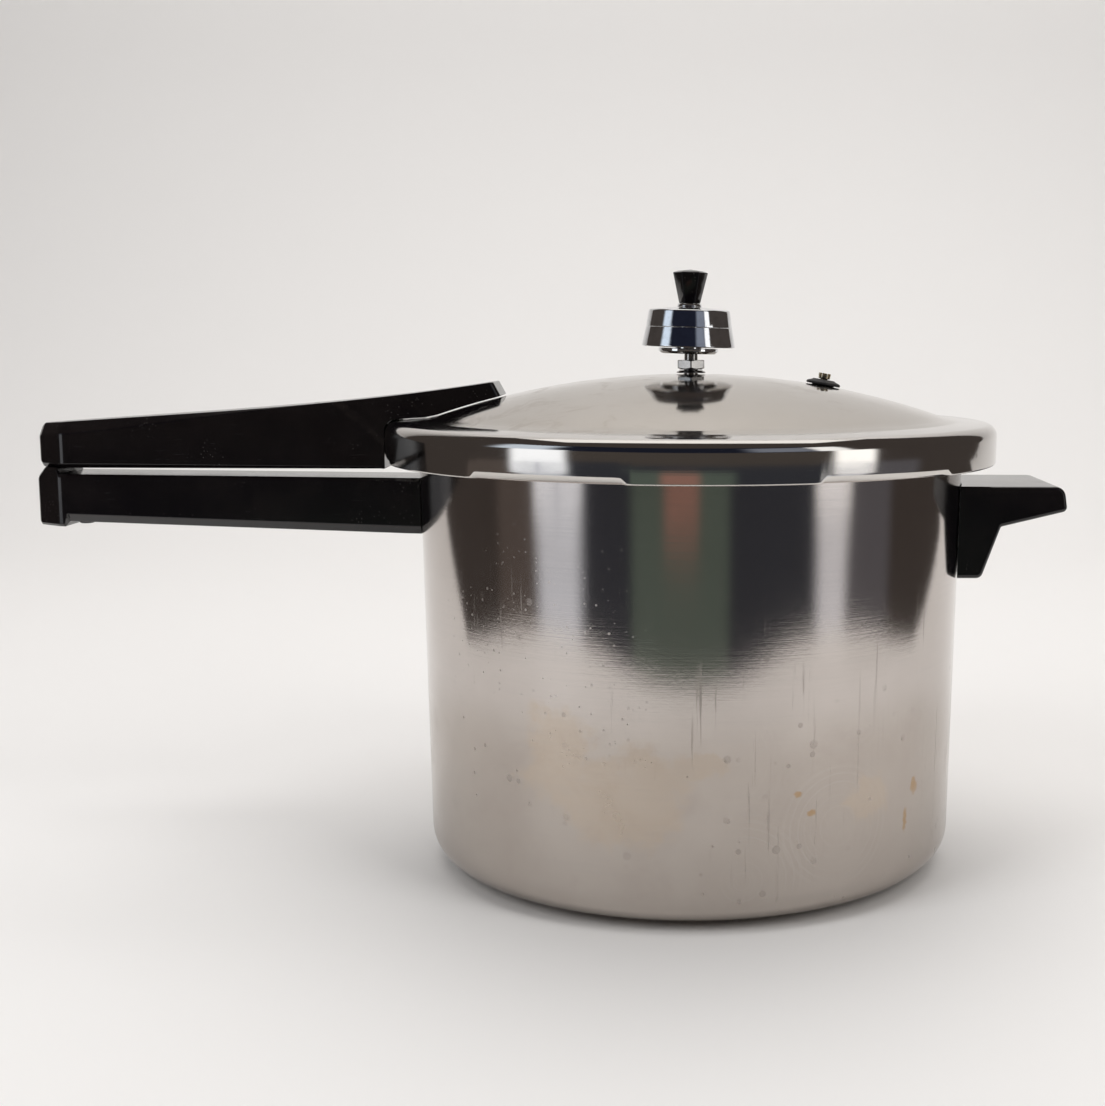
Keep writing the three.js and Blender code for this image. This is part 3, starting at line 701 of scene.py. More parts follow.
def handle_section(top, bottom, half, top_cut, bottom_cut, edge=0.7, bottom_edge=0.7, hug=None):
    """One loop round a long handle. It lies between a point on the top line and one on the bottom
    line, and its corners are cut by the given sizes. With `hug`, the bottom point's x is on a
    circle of that radius about Z."""
    top, bottom = Vector(top), Vector(bottom)
    depth = (top - bottom).length
    side = rounded([
        (0, 0, 0),
        (half - top_cut, 0, edge),
        (half, top_cut, edge),
        (half, depth - bottom_cut, bottom_edge),
        (half - bottom_cut, depth, bottom_edge),
        (0, depth, 0),
    ], steps=4)
    loop = [(-y, h) for y, h in side[1:-1]] + [(y, h) for y, h in reversed(side[1:-1])]
    section = []
    for y, h in loop:
        foot_x = -math.sqrt(hug * hug - y * y) if hug else bottom.x
        x = lerp(top.x, foot_x, h / depth)
        z = lerp(top.y, bottom.y, h / depth)
        section.append((x, y, z))
    return section


def bezier(points, share):
    """A point on a cubic curve."""
    a, b, c, d = (Vector(p) for p in points)
    rest = 1 - share
    return a * rest ** 3 + b * (3 * rest ** 2 * share) + c * (3 * rest * share ** 2) + d * share ** 3


def drop(distance, radius):
    """How far a rounded edge falls short of its corner, at a distance from the end."""
    if distance >= radius:
        return 0.0
    return radius - math.sqrt(radius * radius - (radius - distance) ** 2)


def end_plan(x, end):
    """Half the width of a long handle near its outer end, which has cut corners."""
    end_half, corner_run, blend = 6.5, 12.5, 1.3
    slanted = end_half + (HALF_HANDLE - end_half) * (x - end) / corner_run
    gap = slanted - HALF_HANDLE
    if abs(gap) < blend:
        slanted = HALF_HANDLE - (blend - gap) ** 2 / (4 * blend)
    return min(slanted, HALF_HANDLE) - drop(x - end, 2.2)


def end_stations(radius, end):
    """Places along X that follow the rounding of a handle's end."""
    return [end + radius * (1 - math.cos(math.radians(a))) for a in range(0, 91, 10)]


def between(start, end, steps):
    return [lerp(start, end, i / steps) for i in range(1, steps + 1)]


UPPER_BOTTOM = upper_low.z - 1.1
NOTCH_GAP = 0.7
TIP_HALF = HALF_HANDLE - 2.5
UPPER_TOP_LINE = [(-280, 190.9), (-210, 196), (-150, 199), (-85.2, 209.3)]


def upper_top_at(x):
    """Height of the cover handle's top line."""
    low, high = -0.1, 1.1
    halvings = 40
    for _ in range(halvings):
        middle = (low + high) / 2
        if bezier(UPPER_TOP_LINE, middle).x < x:
            low = middle
        else:
            high = middle
    return bezier(UPPER_TOP_LINE, low).y


def upper_handle_half(x):
    """Half the width, which narrows along the dome."""
    return lerp(HALF_HANDLE, TIP_HALF, (x + 150) / 66) if x > -150 else end_plan(x, HANDLE_END)


def thumb_cut(x):
    """The cut along the top edge, wide at the outer end and gone at the dome."""
    return lerp(5.2, 0.4, smooth((x - HANDLE_END) / 130))


def upper_handle_sections():
    """From the outer end to the tip on the dome, over the notch that holds the cover's rim."""
    sections = []
    end_round = 2.6
    flat_end = -(COVER_RADIUS + NOTCH_GAP)
    notch_foot = flat_end - 1.2
    lead = end_stations(end_round, HANDLE_END)
    xs = lead + between(lead[-1], -274, 4) + between(-274, -269, 8) + between(-269, notch_foot, 44)
    lean_start, top_reach = -262, -172
    for x in xs:
        away = x - HANDLE_END
        lean = max(0.0, (x - lean_start) / (notch_foot - lean_start))
        top_x = lerp(lean_start, top_reach, lean) if lean else x
        top = (top_x, upper_top_at(top_x) - drop(away, end_round))
        bottom = (x, UPPER_BOTTOM + drop(away, end_round))
        half = upper_handle_half(x)
        sections.append(handle_section(top, bottom, half, min(thumb_cut(top_x), half - 1.5), 1.9,
                                       edge=1.5, bottom_edge=0.5))
    notch = [
        (COVER_RADIUS + NOTCH_GAP + 1.2, UPPER_BOTTOM, 0),
        (COVER_RADIUS + NOTCH_GAP, UPPER_BOTTOM, 1.2),
        (COVER_RADIUS + NOTCH_GAP, SHOULDER_TOP - SHOULDER_FALL + NOTCH_GAP, SHOULDER_ROUND),
        (DOME_EDGE + 5, SHOULDER_TOP + NOTCH_GAP, 2),
        (DOME_EDGE, dome_height(DOME_EDGE) + NOTCH_GAP, 3),
        (DOME_EDGE - 6, dome_height(DOME_EDGE - 6) + NOTCH_GAP, 0),
    ]
    path = rounded(notch, steps=8)[1:]
    tip_top, tip_foot, tip_round = -87.6, 85.3, 2.3
    dense = []
    for a, b in zip(path, path[1:]):
        pieces = max(1, round(math.dist(a, b) / 2.5))
        dense += [tuple(lerp(Vector(a), Vector(b), i / pieces)) for i in range(pieces)]
    dense.append(path[-1])
    dense += [(r, dome_height(r) + NOTCH_GAP) for r in between(dense[-1][0], tip_foot, 9)]
    top_line = between(top_reach, tip_top, len(dense))
    for (radius, z), top_x in zip(dense, top_line):
        half = upper_handle_half(max(-radius, top_x))
        sections.append(handle_section((top_x, upper_top_at(top_x)), (-radius, z), half,
                                       thumb_cut(top_x), 0.1, edge=1.2, bottom_edge=0.05, hug=radius))
    for degrees in range(15, 91, 15):
        run = tip_round * math.sin(math.radians(degrees))
        short = tip_round - tip_round * math.cos(math.radians(degrees))
        top_x, radius = tip_top + run, tip_foot - run
        top = (top_x, upper_top_at(top_x) - short * 0.15)
        bottom = (-radius, dome_height(radius) + NOTCH_GAP + short * 0.15)
        sections.append(handle_section(top, bottom, TIP_HALF - short, 0.4, 0.1,
                                       bottom_edge=0.05, hug=radius))
    return sections


def screw_holes(screw_node, washer_node, bottom, slack, past=0.0):
    """What is cut out of a handle for a screw: the room for its head, and the hole for its shank."""
    high = box_mm(screw_node)[1]
    at = (middle_x(screw_node), 0)
    seat = box_mm(washer_node)[1].z + slack
    head_hole = rod("head_hole", high.y + slack, bottom, seat, at=at)
    shank_hole = rod("shank_hole", SHANK_HOLE, bottom, high.z + past, at=at)
    return head_hole, shank_hole


def make_upper_handle():
    handle = lofted("upper_handle", upper_handle_sections(), sharp=40)
    hollow_half = HALF_HANDLE - 4
    hollow = block("hollow", (-266, -hollow_half, UPPER_BOTTOM - 1), (-176, hollow_half, UPPER_BOTTOM + 14))
    bevelled(hollow, 2.5)
    strap_low, strap_high = box_mm("cover_handle_bracket")
    slack = 0.4
    slot = block("slot", (strap_low.x - slack, strap_low.y - slack, strap_low.z - 3),
                 (strap_high.x + 2, strap_high.y + slack, strap_high.z + slack))
    holes = []
    for where in ("front", "rear"):
        nodes = f"cover_handle_{where}_screw", f"cover_handle_{where}_washer"
        holes += screw_holes(*nodes, UPPER_BOTTOM - 1, slack, past=1)
    cut(handle, hollow, slot, *holes, sharp=40)
    weighted(handle)
    finished(handle, "cover", "cover_handle", PHENOLIC)


LOWER_TOP = lower_high.z - 2.8
BLOCK_END = HANDLE_END + 13.6


def lower_handle_sections():
    """From the raised end block to the pot's wall."""
    end_round = 1.8
    block_top, block_bottom = lower_high.z, lower_low.z + 0.9
    top_start, top_run, top_fall = -274, 160, 1.3
    bottom_start, bottom_run = -271, 157
    inner_x = -112.0
    sections = []
    lead = end_stations(end_round, LOWER_END)
    boss_end = HANDLE_END + 10
    xs = lead + between(lead[-1], boss_end, 6) + between(boss_end, boss_end + 1.6, 8)
    xs += between(xs[-1], BLOCK_END - 1.2, 2) + between(BLOCK_END - 1.2, BLOCK_END + 1.2, 10)
    xs += between(xs[-1], -150, 20) + between(-150, -124, 6)
    for x in xs:
        away = x - LOWER_END
        slope_top = lerp(LOWER_TOP, LOWER_TOP - top_fall, (x - top_start) / top_run)
        boss = 1 - smooth((x - boss_end) / 1.6)
        top_z = lerp(slope_top, block_top, boss) - drop(away, end_round)
        top_z = min(top_z, block_top - 4.6 + away * 0.92)
        past = smooth((x - BLOCK_END + 0.7) / 1.4)
        slope_bottom = lerp(148.2, 142.9, (x - bottom_start) / bottom_run)
        bottom_z = lerp(block_bottom, slope_bottom, past) + drop(away, end_round)
        half = end_plan(x, LOWER_END)
        undercut = lerp(1.2, 3.6, past)
        sections.append(handle_section((x, top_z), (x, bottom_z), half, 1.3, min(undercut, half - 1),
                                       edge=0.9, bottom_edge=0.7))
    end_edge = 0.3
    for angle in range(0, 91, 15):
        run = end_edge * math.sin(math.radians(angle))
        short = end_edge - end_edge * math.cos(math.radians(angle))
        top_z = LOWER_TOP - top_fall - short
        bottom_z = 143.1 + short
        flat = handle_section((inner_x, top_z), (inner_x, bottom_z), HALF_HANDLE - short, 1.3, 3.6,
                              edge=0.9, bottom_edge=0.7)
        sections.append([(wall_x(y, z, end_edge - run), y, z) for _, y, z in flat])
    return sections


def wall_x(y, z, out=0.0):
    """The x on the -X side of the pot's wall, a fitting gap and more away from it."""
    gap = 0.5
    reach = wall_radius(z) + gap + out
    return -math.sqrt(reach * reach - y * y)


def make_lower_handle():
    handle = lofted("lower_handle", lower_handle_sections(), sharp=40)
    bracket_low, bracket_high = box_mm("body_handle_bracket")
    slack = 0.5
    hollow_half = HALF_HANDLE - 4.2
    hollow = block("hollow", (-262, -hollow_half, BELOW_HANDLES), (-172, hollow_half, 163))
    bevelled(hollow, 2.5)
    half = CHANNEL_HALF + slack
    pocket = block("pocket", (bracket_low.x - slack, -half, CHANNEL_BOTTOM - slack),
                   (-100, half, CHANNEL_TOP + slack))
    pad_low, pad_high = bracket_low.z - slack, bracket_high.z + slack
    pad_in, pad_out = 112, POT_RADIUS + 2.7
    pad = turned("pad", [(pad_in, pad_low), (pad_out, pad_low), (pad_out, pad_high), (pad_in, pad_high)])
    pad_half = min(bracket_high.y, HALF_HANDLE - 3) + slack
    keep = block("keep", (-140, -pad_half, 100), (-60, pad_half, 200))
    cut(pad, keep, operation="INTERSECT")
    holes = screw_holes("body_handle_screw", "body_handle_washer", BELOW_HANDLES, slack)
    cut(handle, hollow, pocket, pad, *holes, sharp=40)
    nub = rod("nub", 3.2, 146.2, 150, at=(BLOCK_END + 3.6, 0))
    weighted(handle)
    bevelled(nub, 0.6)
    join_into(handle, nub)
    finished(handle, "pot", "body_handle", PHENOLIC)


def join_into(made, *others):
    """Puts the meshes of other objects into one piece."""
    bm = bmesh.new()
    bm.from_mesh(made.data)
    for other in others:
        bm.from_mesh(other.data)
        bpy.data.objects.remove(other)
    bm.to_mesh(made.data)
    bm.free()
    return made


# ---- Helper handle ----
def offset_outline(corners, size_of):
    """Moves the edges of an open outline of (x, z, radius) corners inwards, by a size that may
    differ from edge to edge, and keeps its rounded corners concentric."""
    edges = []
    for here, there in zip(corners, corners[1:]):
        start, end = Vector(here[:2]), Vector(there[:2])
        along = (end - start).normalized()
        size = size_of(start, end)
        edges.append((start + Vector((-along.y, along.x)) * size, along, size))
    moved = [(corners[0][0], edges[0][0].y, 0)]
    for (start, along, size), (beyond, onward, next_size), corner in zip(edges, edges[1:], corners[1:]):
        bend = along.cross(onward)
        place = start + along * ((beyond - start).cross(onward) / bend)
        change = min(size, next_size) if bend > 0 else -max(size, next_size)
        moved.append((place.x, place.y, max(0.05, corner[2] - change)))
    moved.append((corners[-1][0], edges[-1][0].y, 0))
    return moved


def helper_sections():
    """The L-shaped outline, drawn across the handle's width and rounded at its two sides."""
    end, top, foot = helper_high.x, helper_high.z, helper_low.z - 0.9
    inside_wall = 112.0
    corners = [
        (inside_wall, foot, 0),
        (124.2, foot, 3.0),
        (132.2, foot + 22.2, 1.2),
        (end + 1.3, foot + 29.0, 2.2),
        (end - 0.2, top, 4.5),
        (inside_wall, top, 0),
    ]
    edge, top_share, wall_steps = 1.7, 0.35, 10

    def outline(inset):
        def size_of(start, past):
            return inset * (top_share if min(start.y, past.y) > top - 0.1 else 1.0)
        return rounded(offset_outline(corners, size_of), steps=5)

    near = []
    for degrees in range(0, 91, 15):
        angle = math.radians(degrees)
        near.append((HALF_HELPER - edge * (1 - math.cos(angle)), edge * (1 - math.sin(angle))))
    near += [(y, 0.0) for y in between(HALF_HELPER - edge, 0, 8)]
    sections = []
    for y, inset in [(-y, inset) for y, inset in near] + near[-2::-1]:
        line = outline(inset)
        low, high = line[0][1], line[-1][1]
        loop = [(helper_wall_x(y, low), y, low)]
        loop += [(x, y, z) for x, z in line[1:-1]]
        loop.append((helper_wall_x(y, high), y, high))
        for i in range(1, wall_steps):
            z = lerp(high, low, i / wall_steps)
            loop.append((helper_wall_x(y, z), y, z))
        sections.append(loop)
    return sections


def helper_wall_x(y, z):
    gap = 0.5
    reach = wall_radius(z) + gap
    return math.sqrt(reach * reach - y * y)


def make_helper_handle():
    handle = lofted("short_handle", helper_sections(), sharp=40)
    low, high = box_mm("helper_handle_bracket")
    slack = 0.5
    half = TONGUE_HALF + slack
    pocket = block("pocket", (100, -half, TONGUE_BOTTOM - slack), (high.x + slack, half, TONGUE_TOP + slack))
    holes = screw_holes("helper_handle_screw", "helper_handle_washer", BELOW_HANDLES, slack)
    pad_half = min(high.y, HALF_HELPER - 3) + slack
    pad_block = block("pad", (100, -pad_half, low.z - slack), (POT_RADIUS + 2.6, pad_half, high.z + slack))
    cut(handle, pocket, *holes, pad_block, sharp=40)
    weighted(handle)
    finished(handle, "pot", "helper_handle", PHENOLIC)


# ---- Brackets, screws and washers ----
BRACKET_HOLE = 2.55


def curved_pad(name, node_low, node_high, direction, half_width):
    """A plate bent to the pot's wall, a gap away from it and narrower than its handle."""
    gap, sheet = 0.4, 1.6
    half_angle = math.degrees(math.asin(half_width / (POT_RADIUS + gap + sheet)))
    steps = 24
    outline = []
    inside = POT_RADIUS + gap
    for radius, order in ((inside + sheet, range(steps + 1)), (inside, range(steps, -1, -1))):
        for i in order:
            angle = math.radians(direction - half_angle + 2 * half_angle * i / steps)
            outline.append((radius * math.cos(angle), radius * math.sin(angle)))
    return extruded(name, outline, node_low, node_high, bevel=0.35)


def make_body_bracket():
    low, high = box_mm("body_handle_bracket")
    half, bottom, top, sheet = CHANNEL_HALF, CHANNEL_BOTTOM, CHANNEL_TOP, 1.6
    pad = curved_pad("lower_bracket", low.z, high.z, 180, min(high.y, HALF_HANDLE - 3))
    root = -(POT_RADIUS + 0.9)
    profile = rounded([
        (-half, bottom, 0.3), (-half, top, 1.8), (half, top, 1.8), (half, bottom, 0.3),
        (half - sheet, bottom, 0.3), (half - sheet, top - sheet, 0.6),
        (-half + sheet, top - sheet, 0.6), (-half + sheet, bottom, 0.3),
    ], steps=4, closed=True)
    channel = lofted("channel", [[(x, y, z) for y, z in profile] for x in (low.x, root)])
    cut(channel, rod("hole", BRACKET_HOLE, bottom, top + 1, at=(middle_x("body_handle_screw"), 0)))
    join_into(pad, channel)
    finished(pad, "pot", "body_handle_bracket", FITTING_STEEL)


def make_helper_bracket():
    low, high = box_mm("helper_handle_bracket")
    half, bottom, top = TONGUE_HALF, TONGUE_BOTTOM, TONGUE_TOP
    pad = curved_pad("short_bracket", low.z, high.z, 0, min(high.y, HALF_HELPER - 3))
    root = POT_RADIUS + 0.9
    profile = rounded([(-half, bottom, 1), (-half, top, 1), (half, top, 1), (half, bottom, 1)],
                      steps=4, closed=True)
    tongue = lofted("tongue", [[(x, y, z) for y, z in profile] for x in (root, high.x)])
    at = (middle_x("helper_handle_screw"), 0)
    cut(tongue, rod("hole", BRACKET_HOLE, bottom - 1, top + 1, at=at))
    join_into(pad, tongue)
    finished(pad, "pot", "helper_handle_bracket", FITTING_STEEL)


def make_cover_bracket():
    low, high = box_mm("cover_handle_bracket")
    outline = rounded([(low.x, low.y, 5), (high.x, low.y, 1), (high.x, high.y, 1), (low.x, high.y, 5)],
                      steps=6, closed=True)
    strap = extruded("upper_bracket", outline, low.z, high.z, bevel=0.4)
    holes = []
    for where in ("front", "rear"):
        at = (middle_x(f"cover_handle_{where}_screw"), 0)
        holes.append(rod("hole", BRACKET_HOLE, low.z - 1, high.z + 1, at=at))
    cut(strap, *holes)
    finished(strap, "cover", "cover_handle_bracket", FITTING_STEEL)


def make_screw(name, node, washer_node, body):
    """A slotted pan-head screw, driven upwards, and its washer."""
    low, high = box_mm(node)
    x = (low.x + high.x) / 2
    head = high.y
    seat = low.z + 2.4
    shank, pitch = 2.2, 0.8
    threads = []
    z = seat + 1.2
    while z < high.z - 1.4:
        threads += [(shank - 0.32, z), (shank, z + pitch / 2)]
        z += pitch
    profile = rounded([
        (0, low.z, 0),
        (head - 1.6, low.z + 0.15, 1),
        (head, low.z + 1.2, 0.9),
        (head, seat, 0.3),
        (shank, seat, 0.2),
        (shank, seat + 1, 0),
    ], steps=4) + threads + [(shank - 0.4, high.z - 1), (shank - 0.9, high.z), (0, high.z)]
    screw = turned(name, profile, steps=64)
    cut(screw, block("slot", (-5, -0.5, low.z - 1), (5, 0.5, low.z + 1)))
    placed(screw, Matrix.Translation((x, 0, 0)))
    finished(screw, body, node, FITTING_STEEL)
    low, high = box_mm(washer_node)
    washer = turned(washer_node.replace("washer", "flat_washer"), rounded([
        (shank + 0.35, low.z, 0.12), (high.y, low.z, 0.25),
        (high.y, high.z, 0.12), (shank + 0.35, high.z, 0.12),
    ], steps=3, closed=True), steps=64)
    placed(washer, Matrix.Translation((x, 0, 0)))
    finished(washer, body, washer_node, FITTING_STEEL)


# ---- Vent pipe and overpressure plug ----
def hex_radius(angle, corner):
    """Distance to the side of a hexagon whose flats face +Y and -Y."""
    folded = (angle % (TURN / 6)) - TURN / 12
    return corner * math.cos(TURN / 12) / math.cos(folded)


def hex_profile(angle, corner, low, high, inner):
    """A nut's profile: flats, with the corners turned off round the top and bottom."""
    flat = hex_radius(angle + TURN / 12, corner)
    rounding = min(flat, corner * 0.985)
    limit = corner * math.cos(TURN / 12) * 1.005
    height = (rounding - min(rounding, limit)) * 0.55 + 0.12
    return [
        (inner, low), (min(rounding, limit) - 0.15, low), (min(rounding, limit), low + 0.12),
        (rounding, low + height), (rounding, high - height),
        (min(rounding, limit), high - 0.12), (min(rounding, limit) - 0.15, high), (inner, high),
    ]


def make_vent_pipe():
    low, high = box_mm("vent_pipe")
    hex_low, hex_high = high.z - 14, high.z - 10.3
    neck, shank, bore, corner = 5.15, 3.1, 1.4, 6.7
    neck_low = DOME_TOP + 1.9
    threads = []
    z = low.z + 0.8
    while z < DOME_TOP - 1:
        threads += [(shank - 0.3, z), (shank, z + 0.45)]
        z += 0.9
    tube = rounded([
        (bore, low.z, 0), (shank - 0.5, low.z, 0.2), (shank - 0.3, low.z + 0.6, 0),
    ], steps=3) + threads + rounded([
        (shank, DOME_TOP, 0), (shank, neck_low, 0.1), (neck, neck_low, 0.3), (neck, hex_low + 0.8, 0.3),
        (2.95, hex_high - 0.6, 0.2), (2.95, high.z - 2.2, 0.6), (2.0, high.z, 0.4), (bore, high.z, 0),
    ], steps=4)
    pipe = turned("vent_tube", tube, steps=72)
    collar = turned("collar", lambda a: hex_profile(a, corner, hex_low, hex_high, 2.4), steps=144, sharp=12)
    join_into(pipe, collar)
    finished(pipe, "cover", "vent_pipe", VENT_STEEL_PAINTED_SHADE)
    ring_low, ring_high = box_mm("vent_pipe_washer")
    washer = turned("dome_washer", rounded([
        (3.5, ring_low.z, 0.1), (ring_high.x, ring_low.z, 0.3), (ring_high.x - 0.4, ring_high.z - 0.5, 0.5),
        (ring_high.x - 1.6, ring_high.z, 0.5), (3.5, ring_high.z, 0.1),
    ], steps=4, closed=True), steps=96)
    finished(washer, "cover", "vent_pipe_washer", VENT_STEEL_PAINTED_SHADE)
    ring_low, ring_high = box_mm("vent_pipe_gasket")
    gasket = turned("dome_gasket", rounded([
        (3.5, ring_low.z, 0.2), (ring_high.x, ring_low.z, 0.5), (ring_high.x, ring_high.z, 0.5),
        (3.5, ring_high.z, 0.2),
    ], steps=4, closed=True), steps=96)
    finished(gasket, "cover", "vent_pipe_gasket", RUBBER)
    nut_low, nut_high = box_mm("vent_pipe_locknut")
    nut = turned("vent_nut", lambda a: hex_profile(a, 7.2, nut_low.z, nut_high.z, 3.5), steps=144, sharp=24)
    finished(nut, "cover", "vent_pipe_locknut", VENT_STEEL_PAINTED_SHADE)


def make_plug():
    bottom, top, bore, hole = -6, 2.6, 2, 4.8
    plug = turned("safety_plug", rounded([
        (bore, bottom, 0.2), (6.1, bottom, 1.2), (7.0, -1.7, 0.5), (hole, -1.6, 0.3),
        (hole, 0.35, 0.3), (7.7, 0.35, 0.5), (7.2, 1.5, 0.9), (5.2, 2.2, 1.0),
        (4.6, top, 0.4), (bore + 0.6, top, 0.3), (bore, top - 0.5, 0.2),
    ], steps=5, closed=True), steps=96)
    on_dome(plug)
    finished(plug, "cover", "overpressure_plug", RUBBER)


def make_pin():
    """A thin pin with a crown of six prongs, and the foot that stops it."""
    crown = 3.0
    pin = turned("crown_pin", rounded([
        (0, -10.7, 0), (3.0, -10.7, 0.4), (3.2, -9.4, 0.3), (1.6, -9.4, 0.2), (1.6, crown, 0.2),
        (2.5, crown, 0.2), (2.75, crown + 2.4, 0.3), (1.8, crown + 2.4, 0.2), (1.5, crown + 0.8, 0.2),
        (0.9, crown + 1.0, 0.2), (0, crown + 1.2, 0),
    ], steps=4), steps=96)
    notches = []
    for turn in (0, 60, 120):
        notch = block("notch", (-4, -0.55, crown + 1.2), (4, 0.55, crown + 4))
        placed(notch, Matrix.Rotation(math.radians(turn), 4, "Z"))
        notches.append(notch)
    cut(pin, *notches)
    on_dome(pin)
    finished(pin, "air_vent_pin", "air_vent_pin", BRASS)


# ---- Pressure regulator ----
def leaning(made):
    """The weight hangs loosely on the vent pipe, so it leans a little to one side."""
    lean = Matrix.Rotation(math.radians(1.5), 4, "Y")
    level = 257
    return placed(made, Matrix.Translation((-0.3, 0, level)) @ lean @ Matrix.Translation((0, 0, -level)))


def make_regulator():
    low, high = box_mm("regulator_lower_weight")
    top_low, top_high = box_mm("regulator_upper_weight")
    spin_low, spin_high = box_mm("regulator_spindle")
    weight_top = top_high.z - 1.3
    bottom_radius = high.x

    def taper(z):
        return lerp(bottom_radius, bottom_radius - 2.7, (z - low.z) / (weight_top - low.z))

    seat = box_mm("vent_pipe")[1].z + 0.4
    flange = 13.1
    spindle = turned("weight_spindle", rounded([
        (0, seat + 1.5, 0), (1.9, seat + 0.8, 0.4), (4.4, seat - 2, 0.4), (4.4, spin_low.z, 0.2),
        (11.9, spin_low.z, 0.8), (flange, spin_low.z + 1.1, 0.5), (flange, low.z - 0.4, 0.3),
        (6, low.z - 0.4, 0), (6, weight_top - 3, 0), (2.2, weight_top - 3, 0),
        (2.2, spin_high.z, 0.4), (0, spin_high.z, 0),
    ], steps=5), steps=144)
    leaning(spindle)
    finished(spindle, "regulator", "regulator_spindle", CHROME)
    bore = 6.35
    lower_top = top_low.z - 0.12
    lower = turned("lower_weight", rounded([
        (bore, low.z, 0.1), (taper(low.z) - 1.6, low.z, 0.5), (taper(low.z) + 0.15, low.z + 0.15, 0.35),
        (taper(low.z) - 0.05, low.z + 1.1, 0.5), (taper(lower_top), lower_top, 0.15), (bore, lower_top, 0.1),
    ], steps=5, closed=True), steps=192)
    leaning(lower)
    finished(lower, "regulator", "regulator_lower_weight", CHROME)
    upper = turned("upper_weight", rounded([
        (bore, top_low.z, 0.1), (taper(top_low.z), top_low.z, 0.15),
        (taper(weight_top) + 0.1, weight_top, 1.1), (11.5, weight_top + 0.75, 2), (6, top_high.z, 1),
        (2.6, top_high.z, 0.1), (2.6, weight_top - 2.6, 0.1), (bore, weight_top - 2.6, 0.1),
    ], steps=6, closed=True), steps=192)
    leaning(upper)
    finished(upper, "regulator", "regulator_upper_weight", CHROME)
    ring_low, ring_high = box_mm("regulator_knob_washer")
    washer = turned("knob_washer", rounded([
        (2.6, ring_low.z - 0.3, 0.1), (ring_high.x + 0.3, ring_low.z - 0.3, 0.3),
        (ring_high.x - 0.4, ring_high.z + 0.35, 0.6), (2.6, ring_high.z + 0.35, 0.1),
    ], steps=4, closed=True), steps=96)
    leaning(washer)
    finished(washer, "regulator", "regulator_knob_washer", CHROME)


def make_knob():
    """Six flat sides that widen upwards to a low crown."""
    low, high = knob_low.z, knob_high.z - 1.4
    bm = bmesh.new()
    rings = []
    for radius, z in ((4.7, low), (7.7, high), (5.2, high + 0.75)):
        angles = [TURN * i / 6 for i in range(6)]
        rings.append([bm.verts.new((radius * math.cos(a), radius * math.sin(a), z)) for a in angles])
    tip = bm.verts.new((0, 0, knob_high.z))
    for here, there in zip(rings, rings[1:]):
        for k in range(6):
            j = (k + 1) % 6
            bm.faces.new((here[k], here[j], there[j], there[k]))
    for k in range(6):
        bm.faces.new((rings[-1][k], rings[-1][(k + 1) % 6], tip))
    bm.faces.new(rings[0])
    knob = mesh_object("weight_knob", bm, sharp=20)
    bevelled(knob, 0.4, segments=4, angle=20)
    cut(knob, rod("hole", 2.6, low - 1, low + 7), sharp=30)
    leaning(knob)
    finished(knob, "regulator", "regulator_knob", PHENOLIC)


# ---- Cooking rack ----
def make_rack():
    low, high = box_mm("cooking_rack")
    radius, sheet = high.x, 1.2
    rack = turned("pierced_rack", rounded([
        (0, high.z - sheet, 0), (radius - 3.2, high.z - sheet, 2.2), (radius - sheet, low.z, 0.5),
        (radius, low.z, 0.5), (radius - 1.2, high.z, 3.2), (0, high.z, 0),
    ], steps=6), steps=192)
    holes = []
    for ring_radius, count in ((0, 1), (32, 6), (66, 12)):
        for i in range(count):
            angle = TURN * i / count
            at = (ring_radius * math.cos(angle), ring_radius * math.sin(angle))
            holes.append(rod("hole", 8, high.z - 5, high.z + 5, at=at, steps=40))
    cut(rack, *holes)
    finished(rack, "rack", "cooking_rack", ALUMINIUM)


make_pot()
make_cover()
make_sealing_ring()
make_upper_handle()
make_lower_handle()
make_helper_handle()
make_body_bracket()
make_helper_bracket()
make_cover_bracket()
make_screw("lower_handle_screw", "body_handle_screw", "body_handle_washer", "pot")
make_screw("short_handle_screw", "helper_handle_screw", "helper_handle_washer", "pot")
for place in ("front", "rear"):
    node = f"cover_handle_{place}"
    make_screw(f"upper_{place}_screw", f"{node}_screw", f"{node}_washer", "cover")
make_vent_pipe()
make_plug()
make_pin()
make_regulator()
make_knob()
make_rack()


# ---- Camera ----
def make_camera():
    """The photographer's eye: a little above the cover, aimed left of the pot by a lens shift."""
    away, height = 0.691, 0.2295
    pitch, roll = math.radians(7.92), math.radians(0.17)
    data = bpy.data.cameras.new("camera")
    data.sensor_width = 36
    data.lens = 51.0
    data.shift_x = -0.1247
    camera = bpy.data.objects.new("camera", data)
    bpy.context.scene.collection.objects.link(camera)
    forward = Vector((0, math.cos(pitch), -math.sin(pitch)))
    up = Vector((0, math.sin(pitch), math.cos(pitch)))
    right = Vector((1, 0, 0))
    tilted_right = right * math.cos(roll) + up * math.sin(roll)
    tilted_up = up * math.cos(roll) - right * math.sin(roll)
    turn = Matrix((tilted_right, tilted_up, -forward)).transposed().to_4x4()
    camera.matrix_world = Matrix.Translation((0, -away, height)) @ turn
    bpy.context.scene.camera = camera


# ---- Stage ----
PALE = (0.87, 0.86, 0.85)


def plain_surface(name, color):
    f = Finish(name, Roughness=0.6, Specular_IOR_Level=0.3)
    cloud = f.noise(2.5, detail=3)
    f.set("Base Color", f.mix(f.times(cloud, 0.25), color, tuple(c * 0.97 for c in color)))
    return f.material


